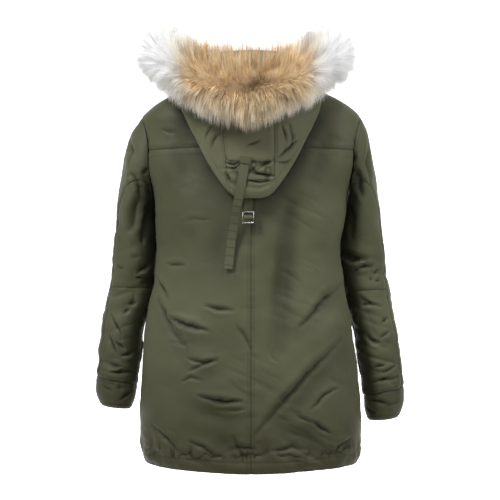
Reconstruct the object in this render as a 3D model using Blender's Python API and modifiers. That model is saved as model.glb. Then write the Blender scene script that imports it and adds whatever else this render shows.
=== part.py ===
"""Fur trimmed parka, filled out as it is worn: cloth walls lofted through sections, hood down on the back.

Frame, in metres: +Z up, +Y the way the wearer faces (the zip side), -Y the back with the hood, +X the
wearer's right. The origin is the middle of the neck opening, where the neckline rests on the wearer.
"""

import math
from types import SimpleNamespace

import bmesh
import bpy
import numpy as np

# Driving dimensions.
CLOTH = 0.003  # shell with its light padding
HOOD_CLOTH = 0.0022  # the hood has no padding
SEAM_GAP = 0.0003  # between two pieces that are sewn together
NECK_LEVEL = 0.018
ARMHOLE_TOP = -0.062
ARMHOLE_BOTTOM = -0.2265
ARMHOLE_HALF_DEPTH = 0.072
YOKE_SEAM_STEP = 6  # the yoke seam leaves the armhole at this step of ARMHOLE_STEPS
ARMHOLE_STEPS = 12  # sections from the top of the armhole to the bottom, a half turn
HEM_LEVEL = -0.826
COLLAR_HEIGHT = 0.055
ZIP_HALF_GAP = 0.0045  # from the middle of the front to each front edge
HOOD_CLEARANCE = 0.005  # hood off the shoulders it lies on
FUR_CLEARANCE = 0.003  # fur off the hood edge that it is buttoned to
STRAP_WIDTH = 0.020
STRAP_THICKNESS = 0.002
STRAP_LINE = [
    (-0.0105, -0.1903, -0.166),
    (-0.0145, -0.1882, -0.190),
    (-0.0190, -0.1852, -0.215),
    (-0.0235, -0.1800, -0.240),
    (-0.0280, -0.1722, -0.262),
    (-0.0325, -0.1640, -0.285),
    (-0.0370, -0.1570, -0.310),
    (-0.0415, -0.1510, -0.340),
    (-0.0450, -0.1475, -0.370),
    (-0.0485, -0.1460, -0.400),
]
TAB_HEIGHT = 0.013
SHORT_STRAP_WIDTH = 0.019
SHORT_STRAP_TOP = -0.2500
BUCKLE_AT = (-0.0060, -0.1560, -0.291)
BUCKLE_SIZE = 0.026
TAPE_WIDTH = 0.010
TAPE_THICKNESS = 0.001
CHAIN_THICKNESS = 0.0024
SLIDER_SIZE = (0.009, 0.002, 0.011)
SLIDER_DROP = 0.012  # from the collar's top to the slider's middle
HINGE_PIN = 0.0008  # radius
HINGE_EYE = 0.0022  # radius
EYE_WIDTH = 0.0038
PULL_THICKNESS = 0.002
PULL_WIDTH = 0.007
PULL_LENGTH = 0.032
BUCKLE_BAR = 0.0034
BUCKLE_THICKNESS = 0.003


class Table:
    """Rows of named columns. at(key) reads every column at a value of the first one, on smooth cubic curves."""

    def __init__(self, columns, rows):
        self.names = columns.split()
        self.rows = np.array(sorted(rows), float)
        keys = self.rows[:, 0]
        self.slopes = np.gradient(self.rows, keys, axis=0)

    def at(self, key):
        keys = self.rows[:, 0]
        key = min(max(key, keys[0]), keys[-1])
        low = int(min(np.searchsorted(keys, key, side="right") - 1, len(keys) - 2))
        span = keys[low + 1] - keys[low]
        t = (key - keys[low]) / span
        start, end = self.rows[low], self.rows[low + 1]
        lean, lean_end = self.slopes[low] * span, self.slopes[low + 1] * span
        value = (
            start * (1 - t) ** 2 * (1 + 2 * t)
            + lean * t * (1 - t) ** 2
            + end * t**2 * (3 - 2 * t)
            - lean_end * t**2 * (1 - t)
        )
        return SimpleNamespace(**dict(zip(self.names, value)))


# Body sections, from the neck to the hem. left, right, back and front are the reach from the middle, square
# is how boxy the section is (2 is an ellipse), and the dips lower the middle of the back and of the front.
BODY = Table(
    "level left right back front square dip_back dip_front",
    [
        (NECK_LEVEL, 0.092, 0.092, 0.080, 0.078, 2.0, 0.000, -0.045),
        (0.008, 0.118, 0.118, 0.085, 0.083, 2.1, 0.000, -0.042),
        (-0.003, 0.143, 0.144, 0.090, 0.088, 2.2, 0.000, -0.038),
        (-0.014, 0.167, 0.169, 0.094, 0.092, 2.3, 0.001, -0.034),
        (-0.029, 0.194, 0.197, 0.099, 0.096, 2.4, 0.002, -0.029),
        (-0.045, 0.218, 0.221, 0.104, 0.101, 2.6, 0.003, -0.024),
        (ARMHOLE_TOP, 0.238, 0.239, 0.109, 0.107, 2.8, 0.004, -0.020),
        (-0.090, 0.243, 0.243, 0.114, 0.113, 3.0, 0.006, -0.015),
        (-0.130, 0.242, 0.242, 0.121, 0.121, 3.0, 0.008, -0.009),
        (-0.170, 0.235, 0.235, 0.128, 0.128, 3.0, 0.006, -0.004),
        (-0.200, 0.225, 0.225, 0.132, 0.132, 2.9, 0.005, -0.002),
        (ARMHOLE_BOTTOM, 0.217, 0.216, 0.135, 0.135, 2.8, 0.004, 0.000),
        (-0.285, 0.211, 0.208, 0.137, 0.134, 2.7, 0.000, 0.000),
        (-0.357, 0.209, 0.197, 0.134, 0.130, 2.6, 0.000, 0.000),
        (-0.435, 0.216, 0.207, 0.135, 0.131, 2.5, 0.000, 0.000),
        (-0.520, 0.233, 0.223, 0.141, 0.135, 2.4, -0.002, 0.000),
        (-0.600, 0.239, 0.233, 0.146, 0.139, 2.4, -0.005, -0.002),
        (-0.690, 0.243, 0.240, 0.150, 0.142, 2.4, -0.006, -0.004),
        (-0.760, 0.243, 0.243, 0.152, 0.144, 2.4, -0.009, -0.006),
        (-0.800, 0.240, 0.242, 0.151, 0.144, 2.4, -0.010, -0.007),
        (HEM_LEVEL, 0.231, 0.235, 0.146, 0.140, 2.4, -0.010, -0.007),
    ],
)

# The largest folds, each a soft trough from (x, z) to (x_end, z_end) on the back or the front of the body.
# depth is how far it goes in (a ridge is negative) and width is half of its breadth.
FOLD_COLUMNS = "side x z x_end z_end depth width"
FOLDS = [
    ("back", 0.085, -0.275, 0.062, -0.570, 0.010, 0.022),  # long valley right of the middle
    ("back", 0.195, -0.440, 0.110, -0.550, 0.007, 0.016),  # pull from the right side
    ("back", 0.190, -0.590, 0.050, -0.730, 0.009, 0.024),  # long diagonal over the right seat
    ("back", 0.055, -0.735, 0.165, -0.800, 0.008, 0.020),  # its return towards the hem
    ("back", -0.200, -0.495, -0.140, -0.600, 0.007, 0.016),  # pull from the left side
    ("back", -0.175, -0.535, -0.100, -0.565, 0.007, 0.016),
    ("back", -0.110, -0.705, -0.025, -0.720, 0.008, 0.018),
    ("back", -0.080, -0.760, -0.030, -0.800, 0.006, 0.022),
    ("back", 0.020, -0.760, 0.040, -0.830, 0.007, 0.022),
    ("back", -0.120, -0.640, -0.070, -0.625, 0.005, 0.016),
    ("front", -0.150, -0.300, -0.060, -0.420, 0.007, 0.022),
    ("front", 0.150, -0.330, 0.075, -0.440, 0.007, 0.022),
    ("front", -0.180, -0.560, -0.060, -0.660, 0.008, 0.022),
    ("front", 0.185, -0.600, 0.070, -0.690, 0.008, 0.022),
    ("front", 0.060, -0.180, 0.110, -0.300, 0.006, 0.022),
    ("front", -0.070, -0.180, -0.115, -0.290, 0.006, 0.022),
]

# Sleeve sections, from the armhole to the cuff. (outer_x, outer_z) is the edge away from the body and
# (inner_x, inner_z) the edge beside it, reach is half of the depth from front to back and y its middle.
# back_seam and front_seam are where the two long seams run, in degrees from the outer edge over the back.
SLEEVE_COLUMNS = "row outer_x outer_z inner_x inner_z reach y back_seam front_seam"
RIGHT_SLEEVE = Table(
    SLEEVE_COLUMNS,
    [
        (0, 0.2390, -0.062, 0.2160, -0.2265, 0.072, 0.000, 150, 215),
        (1, 0.2560, -0.093, 0.2190, -0.2330, 0.074, 0.003, 140, 212),
        (2, 0.2675, -0.143, 0.2180, -0.2420, 0.076, 0.008, 112, 208),
        (3, 0.2785, -0.205, 0.2150, -0.2620, 0.076, 0.017, 62, 203),
        (4, 0.2875, -0.264, 0.2092, -0.2920, 0.075, 0.029, 36, 198),
        (5, 0.2930, -0.310, 0.2025, -0.3270, 0.073, 0.039, 30, 194),
        (6, 0.2990, -0.366, 0.1985, -0.3760, 0.070, 0.044, 29, 189),
        (7, 0.3080, -0.430, 0.2070, -0.4360, 0.066, 0.045, 30, 184),
        (8, 0.3165, -0.483, 0.2160, -0.4860, 0.062, 0.045, 32, 178),
        (9, 0.3260, -0.540, 0.2290, -0.5440, 0.059, 0.045, 34, 174),
        (10, 0.3345, -0.587, 0.2385, -0.5920, 0.056, 0.046, 36, 172),
        (11, 0.3405, -0.628, 0.2460, -0.6400, 0.053, 0.047, 37, 171),
        (12, 0.3435, -0.666, 0.2530, -0.6840, 0.050, 0.048, 37, 171),
        (13, 0.3425, -0.706, 0.2570, -0.7170, 0.047, 0.049, 37, 171),
        (14, 0.3340, -0.736, 0.2620, -0.7420, 0.043, 0.050, 37, 171),
    ],
)
LEFT_SLEEVE = Table(
    SLEEVE_COLUMNS,
    [
        (0, 0.2380, -0.062, 0.2170, -0.2265, 0.072, 0.000, 150, 215),
        (1, 0.2590, -0.096, 0.2200, -0.2330, 0.074, 0.003, 140, 212),
        (2, 0.2765, -0.143, 0.2200, -0.2410, 0.076, 0.008, 112, 208),
        (3, 0.2895, -0.205, 0.2175, -0.2600, 0.076, 0.017, 62, 203),
        (4, 0.2980, -0.260, 0.2150, -0.2900, 0.075, 0.029, 36, 198),
        (5, 0.3040, -0.312, 0.2120, -0.3270, 0.073, 0.039, 30, 194),
        (6, 0.3095, -0.370, 0.2100, -0.3760, 0.070, 0.044, 29, 189),
        (7, 0.3165, -0.425, 0.2155, -0.4300, 0.066, 0.045, 30, 184),
        (8, 0.3265, -0.478, 0.2250, -0.4820, 0.062, 0.045, 32, 178),
        (9, 0.3370, -0.527, 0.2375, -0.5340, 0.059, 0.045, 34, 174),
        (10, 0.3420, -0.568, 0.2440, -0.5780, 0.056, 0.046, 36, 172),
        (11, 0.3445, -0.607, 0.2500, -0.6220, 0.053, 0.047, 37, 171),
        (12, 0.3460, -0.641, 0.2570, -0.6600, 0.050, 0.048, 37, 171),
        (13, 0.3455, -0.682, 0.2630, -0.6930, 0.047, 0.049, 37, 171),
        (14, 0.3380, -0.708, 0.2680, -0.7160, 0.043, 0.050, 37, 171),
    ],
)
ELBOW_ROW = 7.3
CUFF_ROW = 12.0
LAST_ROW = 14

# The hood lies open on the back as a pouch. angle is where a section leaves the neckline (0 is the middle of
# the back). It runs down the shoulders to its fold, at fold_angle and fold_level on the body, turns out by
# gap and comes up again to the fur edge, standing out by bulge halfway. tuck is how far down the inner side
# of the ruff that edge is, in degrees.
HOOD = Table(
    "angle fold_angle fold_level gap bulge tuck",
    [
        (0, 0.0, -0.236, 0.040, 0.013, 8),
        (12, 10.5, -0.235, 0.040, 0.013, 14),
        (24, 19.5, -0.224, 0.038, 0.013, 26),
        (34, 29.0, -0.194, 0.034, 0.012, 36),
        (44, 38.0, -0.156, 0.030, 0.010, 44),
        (54, 45.5, -0.118, 0.026, 0.008, 50),
        (64, 52.0, -0.084, 0.022, 0.006, 54),
        (75, 58.0, -0.050, 0.015, 0.003, 60),
        (88, 69.0, -0.014, 0.011, 0.001, 62),
        (105, 87.0, 0.003, 0.010, 0.000, 62),
        (125, 108.0, 0.006, 0.010, 0.000, 56),
        (145, 133.0, 0.003, 0.010, 0.000, 46),
        (168, 160.0, 0.002, 0.010, 0.000, 30),
    ],
)
HOOD_END = 166.0
HOOD_PANEL_SEAM = 24.0  # the middle panel of the hood ends at this angle, each side
HOOD_CROSS_SEAM = 0.66  # and at this part of the way from the neckline to the fur edge
NECK_TO_FOLD = 0.42  # part of the way that runs down, and the part that turns over
FOLD_TO_EDGE = 0.52

# The fur ruff, by its middle line. up and out are the reach of the hair from that line.
FUR = Table(
    "angle x y z up out",
    [
        (0, 0.000, -0.2250, -0.030, 0.089, 0.050),
        (20, 0.062, -0.2190, -0.018, 0.082, 0.050),
        (40, 0.118, -0.1900, 0.009, 0.080, 0.053),
        (60, 0.158, -0.1350, 0.038, 0.076, 0.058),
        (80, 0.180, -0.0650, 0.066, 0.068, 0.064),
        (100, 0.183, 0.0050, 0.074, 0.066, 0.064),
        (120, 0.166, 0.0700, 0.062, 0.064, 0.058),
        (140, 0.128, 0.1180, 0.032, 0.060, 0.050),
        (158, 0.083, 0.1460, -0.004, 0.050, 0.042),
        (172, 0.052, 0.1560, -0.030, 0.036, 0.030),
    ],
)
FUR_SHIFT_X = -0.010  # the ruff lies a little to the wearer's left
FUR_END = 172.0


def unit(vector):
    return vector / np.linalg.norm(vector)


def trough(side, x, z):
    """How far the folds on this side of the body take a point in."""
    total = 0.0
    for row in FOLDS:
        fold = SimpleNamespace(**dict(zip(FOLD_COLUMNS.split(), row)))
        if fold.side != side:
            continue
        run = np.array([fold.x_end - fold.x, fold.z_end - fold.z])
        away = np.array([x - fold.x, z - fold.z])
        along = float(np.clip(away @ run / (run @ run), 0, 1))
        distance = np.linalg.norm(away - along * run)
        swell = math.sin(math.pi * (0.15 + 0.7 * along))
        total += fold.depth * swell * math.exp(-((distance / fold.width) ** 2))
    return total


def body_smooth(angle, level):
    """The body with no folds. angle is in degrees from the middle of the back, positive to the right."""
    row = BODY.at(level)
    sine, cosine = math.sin(math.radians(angle)), math.cos(math.radians(angle))
    across = row.right if sine >= 0 else row.left
    along = row.back if cosine >= 0 else row.front
    reach = (abs(sine / across) ** row.square + abs(cosine / along) ** row.square) ** (-1 / row.square)
    dip = row.dip_back if cosine >= 0 else row.dip_front
    return np.array([reach * sine, -reach * cosine, level + dip * cosine**2])


def body(angle, level):
    """The outer surface of the body cloth."""
    point = body_smooth(angle, level)
    side = "back" if math.cos(math.radians(angle)) >= 0 else "front"
    inward = np.array([-point[0], -point[1], 0.0])
    return point + unit(inward) * trough(side, point[0], point[2])


def armhole_angle(level, front=False):
    """Where a body section meets the armhole, or the side seam below it and the shoulder seam above it."""
    middle, half = (ARMHOLE_TOP + ARMHOLE_BOTTOM) / 2, (ARMHOLE_TOP - ARMHOLE_BOTTOM) / 2
    share = (level - middle) / half
    if abs(share) >= 1:
        return 90.0
    depth = ARMHOLE_HALF_DEPTH * math.sqrt(1 - share**2)
    row = BODY.at(level)
    along = row.front if front else row.back
    across = (row.left + row.right) / 2 * (1 - (depth / along) ** row.square) ** (1 / row.square)
    angle = math.degrees(math.atan2(across, depth))
    return 180.0 - angle if front else angle


def armhole_levels():
    """The body levels at the armhole's even steps, from its top to its bottom."""
    middle, half = (ARMHOLE_TOP + ARMHOLE_BOTTOM) / 2, (ARMHOLE_TOP - ARMHOLE_BOTTOM) / 2
    return [middle + half * math.cos(math.pi * step / ARMHOLE_STEPS) for step in range(ARMHOLE_STEPS + 1)]


def armhole(side, angle):
    """A point of the armhole seam. angle is in degrees from its top over the back, side is 1 right, -1 left."""
    middle, half = (ARMHOLE_TOP + ARMHOLE_BOTTOM) / 2, (ARMHOLE_TOP - ARMHOLE_BOTTOM) / 2
    level = middle + half * math.cos(math.radians(angle))
    return body(side * armhole_angle(level, front=math.sin(math.radians(angle)) < -1e-9), level)


def sleeve_ring(side, table, angle, row):
    """A sleeve section as an ellipse, with no armhole."""
    at = table.at(row)
    outer, inner = np.array([at.outer_x, 0.0, at.outer_z]), np.array([at.inner_x, 0.0, at.inner_z])
    middle = (outer + inner) / 2 + np.array([0.0, at.y, 0.0])
    point = middle + (outer - inner) / 2 * math.cos(math.radians(angle))
    point[1] -= at.reach * math.sin(math.radians(angle))
    return point * np.array([side, 1.0, 1.0])


def sleeve(side, table):
    """The outer surface of a sleeve: surface(angle, row), which starts on its armhole."""

    def surface(angle, row):
        point = sleeve_ring(side, table, angle, row)
        fade = max(0.0, 1 - row / 3) ** 2
        if fade > 0:
            step = 360 / (2 * ARMHOLE_STEPS)
            low = math.floor(angle / step + 1e-9) * step
            part = (angle - low) / step
            edge = armhole(side, low) * (1 - part)
            if part > 1e-9:
                edge = edge + armhole(side, low + step) * part
            start = sleeve_ring(side, table, low, 0) * (1 - part)
            if part > 1e-9:
                start = start + sleeve_ring(side, table, low + step, 0) * part
            point = point + (edge - start) * fade
        point[0] += side * SEAM_GAP * 2
        return point

    return surface


def collar(angle, height):
    """The standing collar, from the neckline up. It leans in a little."""
    point = body_smooth(angle, NECK_LEVEL)
    lean = 0.965 - 0.6 * height
    return np.array([point[0] * lean, point[1] * lean, point[2] + 0.0006 + height])


def fur_middle(angle):
    at = FUR.at(abs(angle))
    return np.array([math.copysign(at.x, angle) + FUR_SHIFT_X, at.y, at.z])


def fur_out(angle):
    """The level direction from the neck out through the ruff, square to its middle line."""
    step = 1.0
    run = fur_middle(min(angle + step, FUR_END)) - fur_middle(max(angle - step, -FUR_END))
    return unit(np.array([run[1], -run[0], 0.0]))


def fur(angle, turn):
    """The reach of the hair. turn is in degrees round the section, from its outer side over the top."""
    at = FUR.at(abs(angle))
    swing = math.radians(turn)
    return fur_middle(angle) + fur_out(angle) * at.out * math.cos(swing) + np.array([0, 0, at.up * math.sin(swing)])


def fur_edge(angle, tuck):
    """Where the hood ends beside the hair: on its inner side, tuck degrees down."""
    at = FUR.at(abs(angle))
    swing = math.radians(180 + tuck)
    level = fur_out(angle) * (at.out + FUR_CLEARANCE) * math.cos(swing)
    return fur_middle(angle) + level + np.array([0, 0, (at.up + FUR_CLEARANCE) * math.sin(swing)])


def body_normal(angle, level):
    """The outward normal of the body with no folds."""
    nudge_angle, nudge_level = 0.5, 0.001
    across = body_smooth(angle + nudge_angle, level) - body_smooth(angle - nudge_angle, level)
    low = max(level - nudge_level, HEM_LEVEL)
    low = min(low, NECK_LEVEL - 2 * nudge_level)
    up = body_smooth(angle, low + 2 * nudge_level) - body_smooth(angle, low)
    return unit(np.cross(across, up))


def hood(angle, way):
    """The outside of the hood. way goes from 0 at the neckline to 1 at the fur edge."""
    at = HOOD.at(abs(angle))
    fold_angle = math.copysign(at.fold_angle, angle)

    def lying(part):
        around = angle + (fold_angle - angle) * part
        level = NECK_LEVEL + (at.fold_level - NECK_LEVEL) * part
        return body_smooth(around, level) + body_normal(around, level) * (HOOD_CLEARANCE + 0.002 * (1 - part))

    if way <= NECK_TO_FOLD:
        return lying(way / NECK_TO_FOLD)
    fold = lying(1.0)
    down = unit(fold - lying(0.96))
    out = body_normal(fold_angle, at.fold_level)
    if way <= FOLD_TO_EDGE:
        turn = math.pi * (way - NECK_TO_FOLD) / (FOLD_TO_EDGE - NECK_TO_FOLD)
        return fold + out * at.gap / 2 * (1 - math.cos(turn)) + down * at.gap / 2 * math.sin(turn)
    start = fold + out * at.gap
    edge = fur_edge(angle, at.tuck)
    part = (way - FOLD_TO_EDGE) / (1 - FOLD_TO_EDGE)
    span = np.linalg.norm(edge - start)
    point = (
        start * (1 - part) ** 2 * (1 + 2 * part)
        - down * span * 0.9 * part * (1 - part) ** 2
        + edge * part**2 * (3 - 2 * part)
        - (edge - start) * 0.9 * part**2 * (1 - part)
    )
    return point + out * at.bulge * math.sin(math.pi * part)


# Building.


def clear_scene():
    for obj in list(bpy.data.objects):
        bpy.data.objects.remove(obj, do_unlink=True)


def make_material(name, colour, roughness, metallic=0.0):
    material = bpy.data.materials.new(name)
    material.use_nodes = True
    shader = material.node_tree.nodes["Principled BSDF"]
    shader.inputs["Base Color"].default_value = (*colour, 1.0)
    shader.inputs["Roughness"].default_value = roughness
    shader.inputs["Metallic"].default_value = metallic
    return material


def add_object(name, mesh, material, collection):
    mesh.materials.append(material)
    mesh.shade_smooth()
    mesh.set_sharp_from_angle(angle=math.radians(40))
    obj = bpy.data.objects.new(name, mesh)
    collection.objects.link(obj)
    return obj


def surface_normal(surface, u, v, nudge_u, nudge_v, limits_v):
    """The normal of surface(u, v) from points beside it, kept inside the range of v."""
    across = surface(u + nudge_u, v) - surface(u - nudge_u, v)
    low = min(max(v - nudge_v, limits_v[0]), limits_v[1] - 2 * nudge_v)
    along = surface(u, low + 2 * nudge_v) - surface(u, low)
    return unit(np.cross(across, along))


def pull_in(line, amount):
    """Moves each end of a line of points towards its neighbour."""
    line = np.array(line)
    line[0] = line[0] + unit(line[1] - line[0]) * amount
    line[-1] = line[-1] + unit(line[-2] - line[-1]) * amount
    return line


def wall_mesh(name, outer, inner, closed=False):
    """One closed wall between two grids of points, rows of equal length. A closed wall is a tube."""
    rows, columns = outer.shape[:2]
    shape = bmesh.new()
    grids = [[[shape.verts.new(point) for point in row] for row in grid] for grid in (outer, inner)]
    skin, lining = grids
    last = columns if closed else columns - 1
    for i in range(rows - 1):
        for j in range(last):
            k = (j + 1) % columns
            shape.faces.new((skin[i][j], skin[i][k], skin[i + 1][k], skin[i + 1][j]))
            shape.faces.new((lining[i][j], lining[i + 1][j], lining[i + 1][k], lining[i][k]))
    for j in range(last):
        k = (j + 1) % columns
        shape.faces.new((skin[0][j], lining[0][j], lining[0][k], skin[0][k]))
        shape.faces.new((skin[-1][j], skin[-1][k], lining[-1][k], lining[-1][j]))
    if not closed:
        for i in range(rows - 1):
            shape.faces.new((skin[i][0], skin[i + 1][0], lining[i + 1][0], lining[i][0]))
            shape.faces.new((skin[i][-1], lining[i][-1], lining[i + 1][-1], skin[i + 1][-1]))
    bmesh.ops.recalc_face_normals(shape, faces=shape.faces)
    mesh = bpy.data.meshes.new(name)
    shape.to_mesh(mesh)
    shape.free()
    return mesh


def cloth_panel(name, surface, sections, thickness, material, collection, nudge=(0.5, 0.002), flip=False):
    """A piece of cloth lofted through sections, each (v, [u, ...]) on surface(u, v), and sewn at its edges."""
    limits = sorted((sections[0][0], sections[-1][0]))
    inward = 1 if flip else -1
    outer, inner = [], []
    for v, across in sections:
        points = np.array([surface(u, v) for u in across])
        normals = np.array([surface_normal(surface, u, v, *nudge, limits) for u in across])
        outer.append(pull_in(points, SEAM_GAP / 2))
        inner.append(pull_in(points + inward * normals * thickness, SEAM_GAP / 2))
    outer, inner = np.array(outer), np.array(inner)
    for column in range(outer.shape[1]):
        outer[:, column] = pull_in(outer[:, column], SEAM_GAP / 2)
        inner[:, column] = pull_in(inner[:, column], SEAM_GAP / 2)
    return add_object(name, wall_mesh(name, outer, inner), material, collection)


def even_angles(surface, level, start, end, count):
    """Angles from start to end that are evenly spaced along a section."""
    trial = np.linspace(start, end, 4 * count + 1)
    points = np.array([surface(angle, level) for angle in trial])
    length = np.concatenate([[0], np.cumsum(np.linalg.norm(np.diff(points, axis=0), axis=1))])
    return np.interp(np.linspace(0, length[-1], count + 1), length, trial)


def body_sections(levels, start_of, end_of, count):
    return [(level, even_angles(body_smooth, level, start_of(level), end_of(level), count)) for level in levels]


def front_edge_angle(level):
    """Where a front stops, beside the zip."""
    return 180.0 - math.degrees(math.atan(ZIP_HALF_GAP / BODY.at(level).front))


def build_body(collection, cloth):
    """Yoke, two backs and two fronts."""
    armhole_rows = armhole_levels()
    skirt = list(np.linspace(ARMHOLE_BOTTOM, HEM_LEVEL, 13))[1:]
    shoulder = [NECK_LEVEL, 0.008, -0.003, -0.014, -0.029, -0.045]
    yoke_rows = shoulder + armhole_rows[: YOKE_SEAM_STEP + 1]
    back_rows = armhole_rows[YOKE_SEAM_STEP:] + skirt
    front_rows = shoulder + armhole_rows + skirt
    sections = body_sections(yoke_rows, lambda z: -armhole_angle(z), armhole_angle, 14)
    cloth_panel("back_yoke", body, sections, CLOTH, cloth, collection)
    for name, side in (("left", -1), ("right", 1)):
        sections = body_sections(back_rows, lambda z: 0.0, lambda z, side=side: side * armhole_angle(z), 9)
        cloth_panel(f"back_{name}", body, sections, CLOTH, cloth, collection)
        sections = body_sections(
            front_rows,
            lambda z, side=side: side * armhole_angle(z, front=True),
            lambda z, side=side: side * front_edge_angle(z),
            6,
        )
        cloth_panel(f"front_{name}", body, sections, CLOTH, cloth, collection)


def build_sleeve(name, side, table, collection, cloth):
    """Top sleeve, under sleeve in two pieces with a seam at the elbow, and the cuff."""
    surface = sleeve(side, table)
    rows = list(range(int(CUFF_ROW) + 1))
    flip = side < 0
    nudge = (0.5, 0.05)

    def sections(at_rows, start_of, end_of, count):
        return [(row, np.linspace(start_of(row), end_of(row), count + 1)) for row in at_rows]

    def back_seam(row):
        return table.at(row).back_seam

    def front_seam(row):
        return table.at(row).front_seam

    top = sections(rows, lambda row: front_seam(row) - 360, back_seam, 11)
    cloth_panel(f"top_sleeve_{name}", surface, top, CLOTH, cloth, collection, nudge, flip)
    upper_rows = [row for row in rows if row < ELBOW_ROW] + [ELBOW_ROW]
    upper = sections(upper_rows, back_seam, front_seam, 7)
    cloth_panel(f"under_sleeve_upper_{name}", surface, upper, CLOTH, cloth, collection, nudge, flip)
    lower = sections([ELBOW_ROW] + [row for row in rows if row > ELBOW_ROW], back_seam, front_seam, 7)
    cloth_panel(f"under_sleeve_lower_{name}", surface, lower, CLOTH, cloth, collection, nudge, flip)
    around = np.linspace(0, 360, 21)[:-1]
    limits = (CUFF_ROW, LAST_ROW)
    outer, inner = [], []
    for row in (CUFF_ROW, 12.6, 13.2, 13.7, LAST_ROW):
        points = np.array([surface(angle, row) for angle in around])
        normals = np.array([surface_normal(surface, angle, row, *nudge, limits) for angle in around])
        outer.append(points)
        inner.append(points + (1 if flip else -1) * normals * CLOTH)
    outer[0] = outer[0] + (outer[1] - outer[0]) * SEAM_GAP / 0.02
    inner[0] = inner[0] + (inner[1] - inner[0]) * SEAM_GAP / 0.02
    add_object(f"cuff_{name}", wall_mesh(f"cuff_{name}", np.array(outer), np.array(inner), True), cloth, collection)


def build_collar(collection, cloth):
    edge = front_edge_angle(NECK_LEVEL)
    sections = [(height, np.linspace(-edge, edge, 25)) for height in np.linspace(0, COLLAR_HEIGHT, 4)]
    cloth_panel("collar", collar, sections, CLOTH, cloth, collection, (0.5, 0.001))


def build_hood(collection, cloth):
    """A middle panel in two pieces with the strap at their seam, and two side panels."""
    turn = [NECK_TO_FOLD + (FOLD_TO_EDGE - NECK_TO_FOLD) * part for part in (0.25, 0.5, 0.75)]
    run_down = [0.0, 0.1, 0.2, 0.3, NECK_TO_FOLD]
    run_up = [FOLD_TO_EDGE, 0.59, HOOD_CROSS_SEAM, 0.75, 0.84, 0.92, 1.0]
    nudge = (0.5, 0.004)
    middle = np.linspace(-HOOD_PANEL_SEAM, HOOD_PANEL_SEAM, 7)
    lower = [(way, middle) for way in run_down + turn + run_up[:3]]
    cloth_panel("hood_middle_lower", hood, lower, HOOD_CLOTH, cloth, collection, nudge)
    upper = [(way, middle) for way in run_up[2:]]
    cloth_panel("hood_middle_upper", hood, upper, HOOD_CLOTH, cloth, collection, nudge)
    side = np.concatenate([np.linspace(HOOD_PANEL_SEAM, 88, 8), np.linspace(99, HOOD_END, 6)])
    for name, sign in (("left", -1), ("right", 1)):
        ways = [(way, side * sign) for way in run_down + turn + run_up]
        cloth_panel(f"hood_{name}", hood, ways, HOOD_CLOTH, cloth, collection, nudge)


def build_fur(collection, hair):
    """The reach of the hair, in one horseshoe."""
    shape = bmesh.new()
    rings = []
    for angle in np.linspace(-FUR_END, FUR_END, 35):
        rings.append([shape.verts.new(fur(angle, turn)) for turn in np.linspace(0, 360, 15)[:-1]])
    for ring, after in zip(rings, rings[1:]):
        for j in range(14):
            k = (j + 1) % 14
            shape.faces.new((ring[j], ring[k], after[k], after[j]))
    for ring in (rings[0], rings[-1]):
        middle = sum((vert.co for vert in ring), ring[0].co * 0) / 14
        tip = shape.verts.new(middle)
        for j in range(14):
            shape.faces.new((ring[j], ring[(j + 1) % 14], tip))
    bmesh.ops.recalc_face_normals(shape, faces=shape.faces)
    mesh = bpy.data.meshes.new("fur_ruff")
    shape.to_mesh(mesh)
    shape.free()
    add_object("fur_ruff", mesh, hair, collection)


def ribbon(name, path, width, thickness, material, collection):
    """A strap with its flat faces along a path of (point, direction across it, outward direction)."""
    outer, inner = [], []
    for point, across, out in path:
        edges = [np.array(point) + np.array(across) * width * part for part in (-0.5, 0.5)]
        outer.append([edge + np.array(out) * thickness / 2 for edge in edges])
        inner.append([edge - np.array(out) * thickness / 2 for edge in edges])
    return add_object(name, wall_mesh(name, np.array(outer), np.array(inner)), material, collection)


def path_of(line):
    """Ribbon stations for a line of points, lying flat towards the back of the coat."""
    line = np.array(line, float)
    stations = []
    for i, point in enumerate(line):
        run = unit(line[min(i + 1, len(line) - 1)] - line[max(i - 1, 0)])
        across = unit(np.cross(run, np.array([0.0, 1.0, 0.0])))
        out = unit(np.cross(across, run))
        stations.append((point, across, out if out[1] < 0 else -out))
    return stations


def build_straps(collection, webbing, cloth):
    """The strap that tightens the hood and the tab that holds it."""
    ribbon("strap_long", path_of(STRAP_LINE), STRAP_WIDTH, STRAP_THICKNESS, webbing, collection)
    lift = np.array([0.0, -(STRAP_THICKNESS + SEAM_GAP), 0.0])
    first, second = np.array(STRAP_LINE[0]), np.array(STRAP_LINE[1])
    run = unit(second - first)
    tab = [first - run * 0.001 + lift, first + run * TAB_HEIGHT + lift]
    ribbon("strap_tab", path_of(tab), STRAP_WIDTH + 0.004, 0.0016, cloth, collection)


def box(name, middle, size, material, collection):
    shape = bmesh.new()
    bmesh.ops.create_cube(shape, size=1.0)
    for vert in shape.verts:
        vert.co = [middle[i] + vert.co[i] * size[i] for i in range(3)]
    mesh = bpy.data.meshes.new(name)
    shape.to_mesh(mesh)
    shape.free()
    return add_object(name, mesh, material, collection)


def rod(name, middle, radius, length, material, collection):
    """A round bar across the coat."""
    shape = bmesh.new()
    bmesh.ops.create_cone(shape, cap_ends=True, segments=20, radius1=radius, radius2=radius, depth=length)
    for vert in shape.verts:
        vert.co = (middle[0] + vert.co.z, middle[1] + vert.co.x, middle[2] + vert.co.y)
    bmesh.ops.recalc_face_normals(shape, faces=shape.faces)
    mesh = bpy.data.meshes.new(name)
    shape.to_mesh(mesh)
    shape.free()
    return add_object(name, mesh, material, collection)


def combine(target, tool, operation):
    """Cuts the tool from the target, or joins it on. The tool stays as a hidden construction piece."""
    tool.display_type = "WIRE"
    tool.hide_render = True
    step = target.modifiers.new(tool.name, "BOOLEAN")
    step.operation = operation
    step.solver = "EXACT"
    step.object = tool


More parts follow.
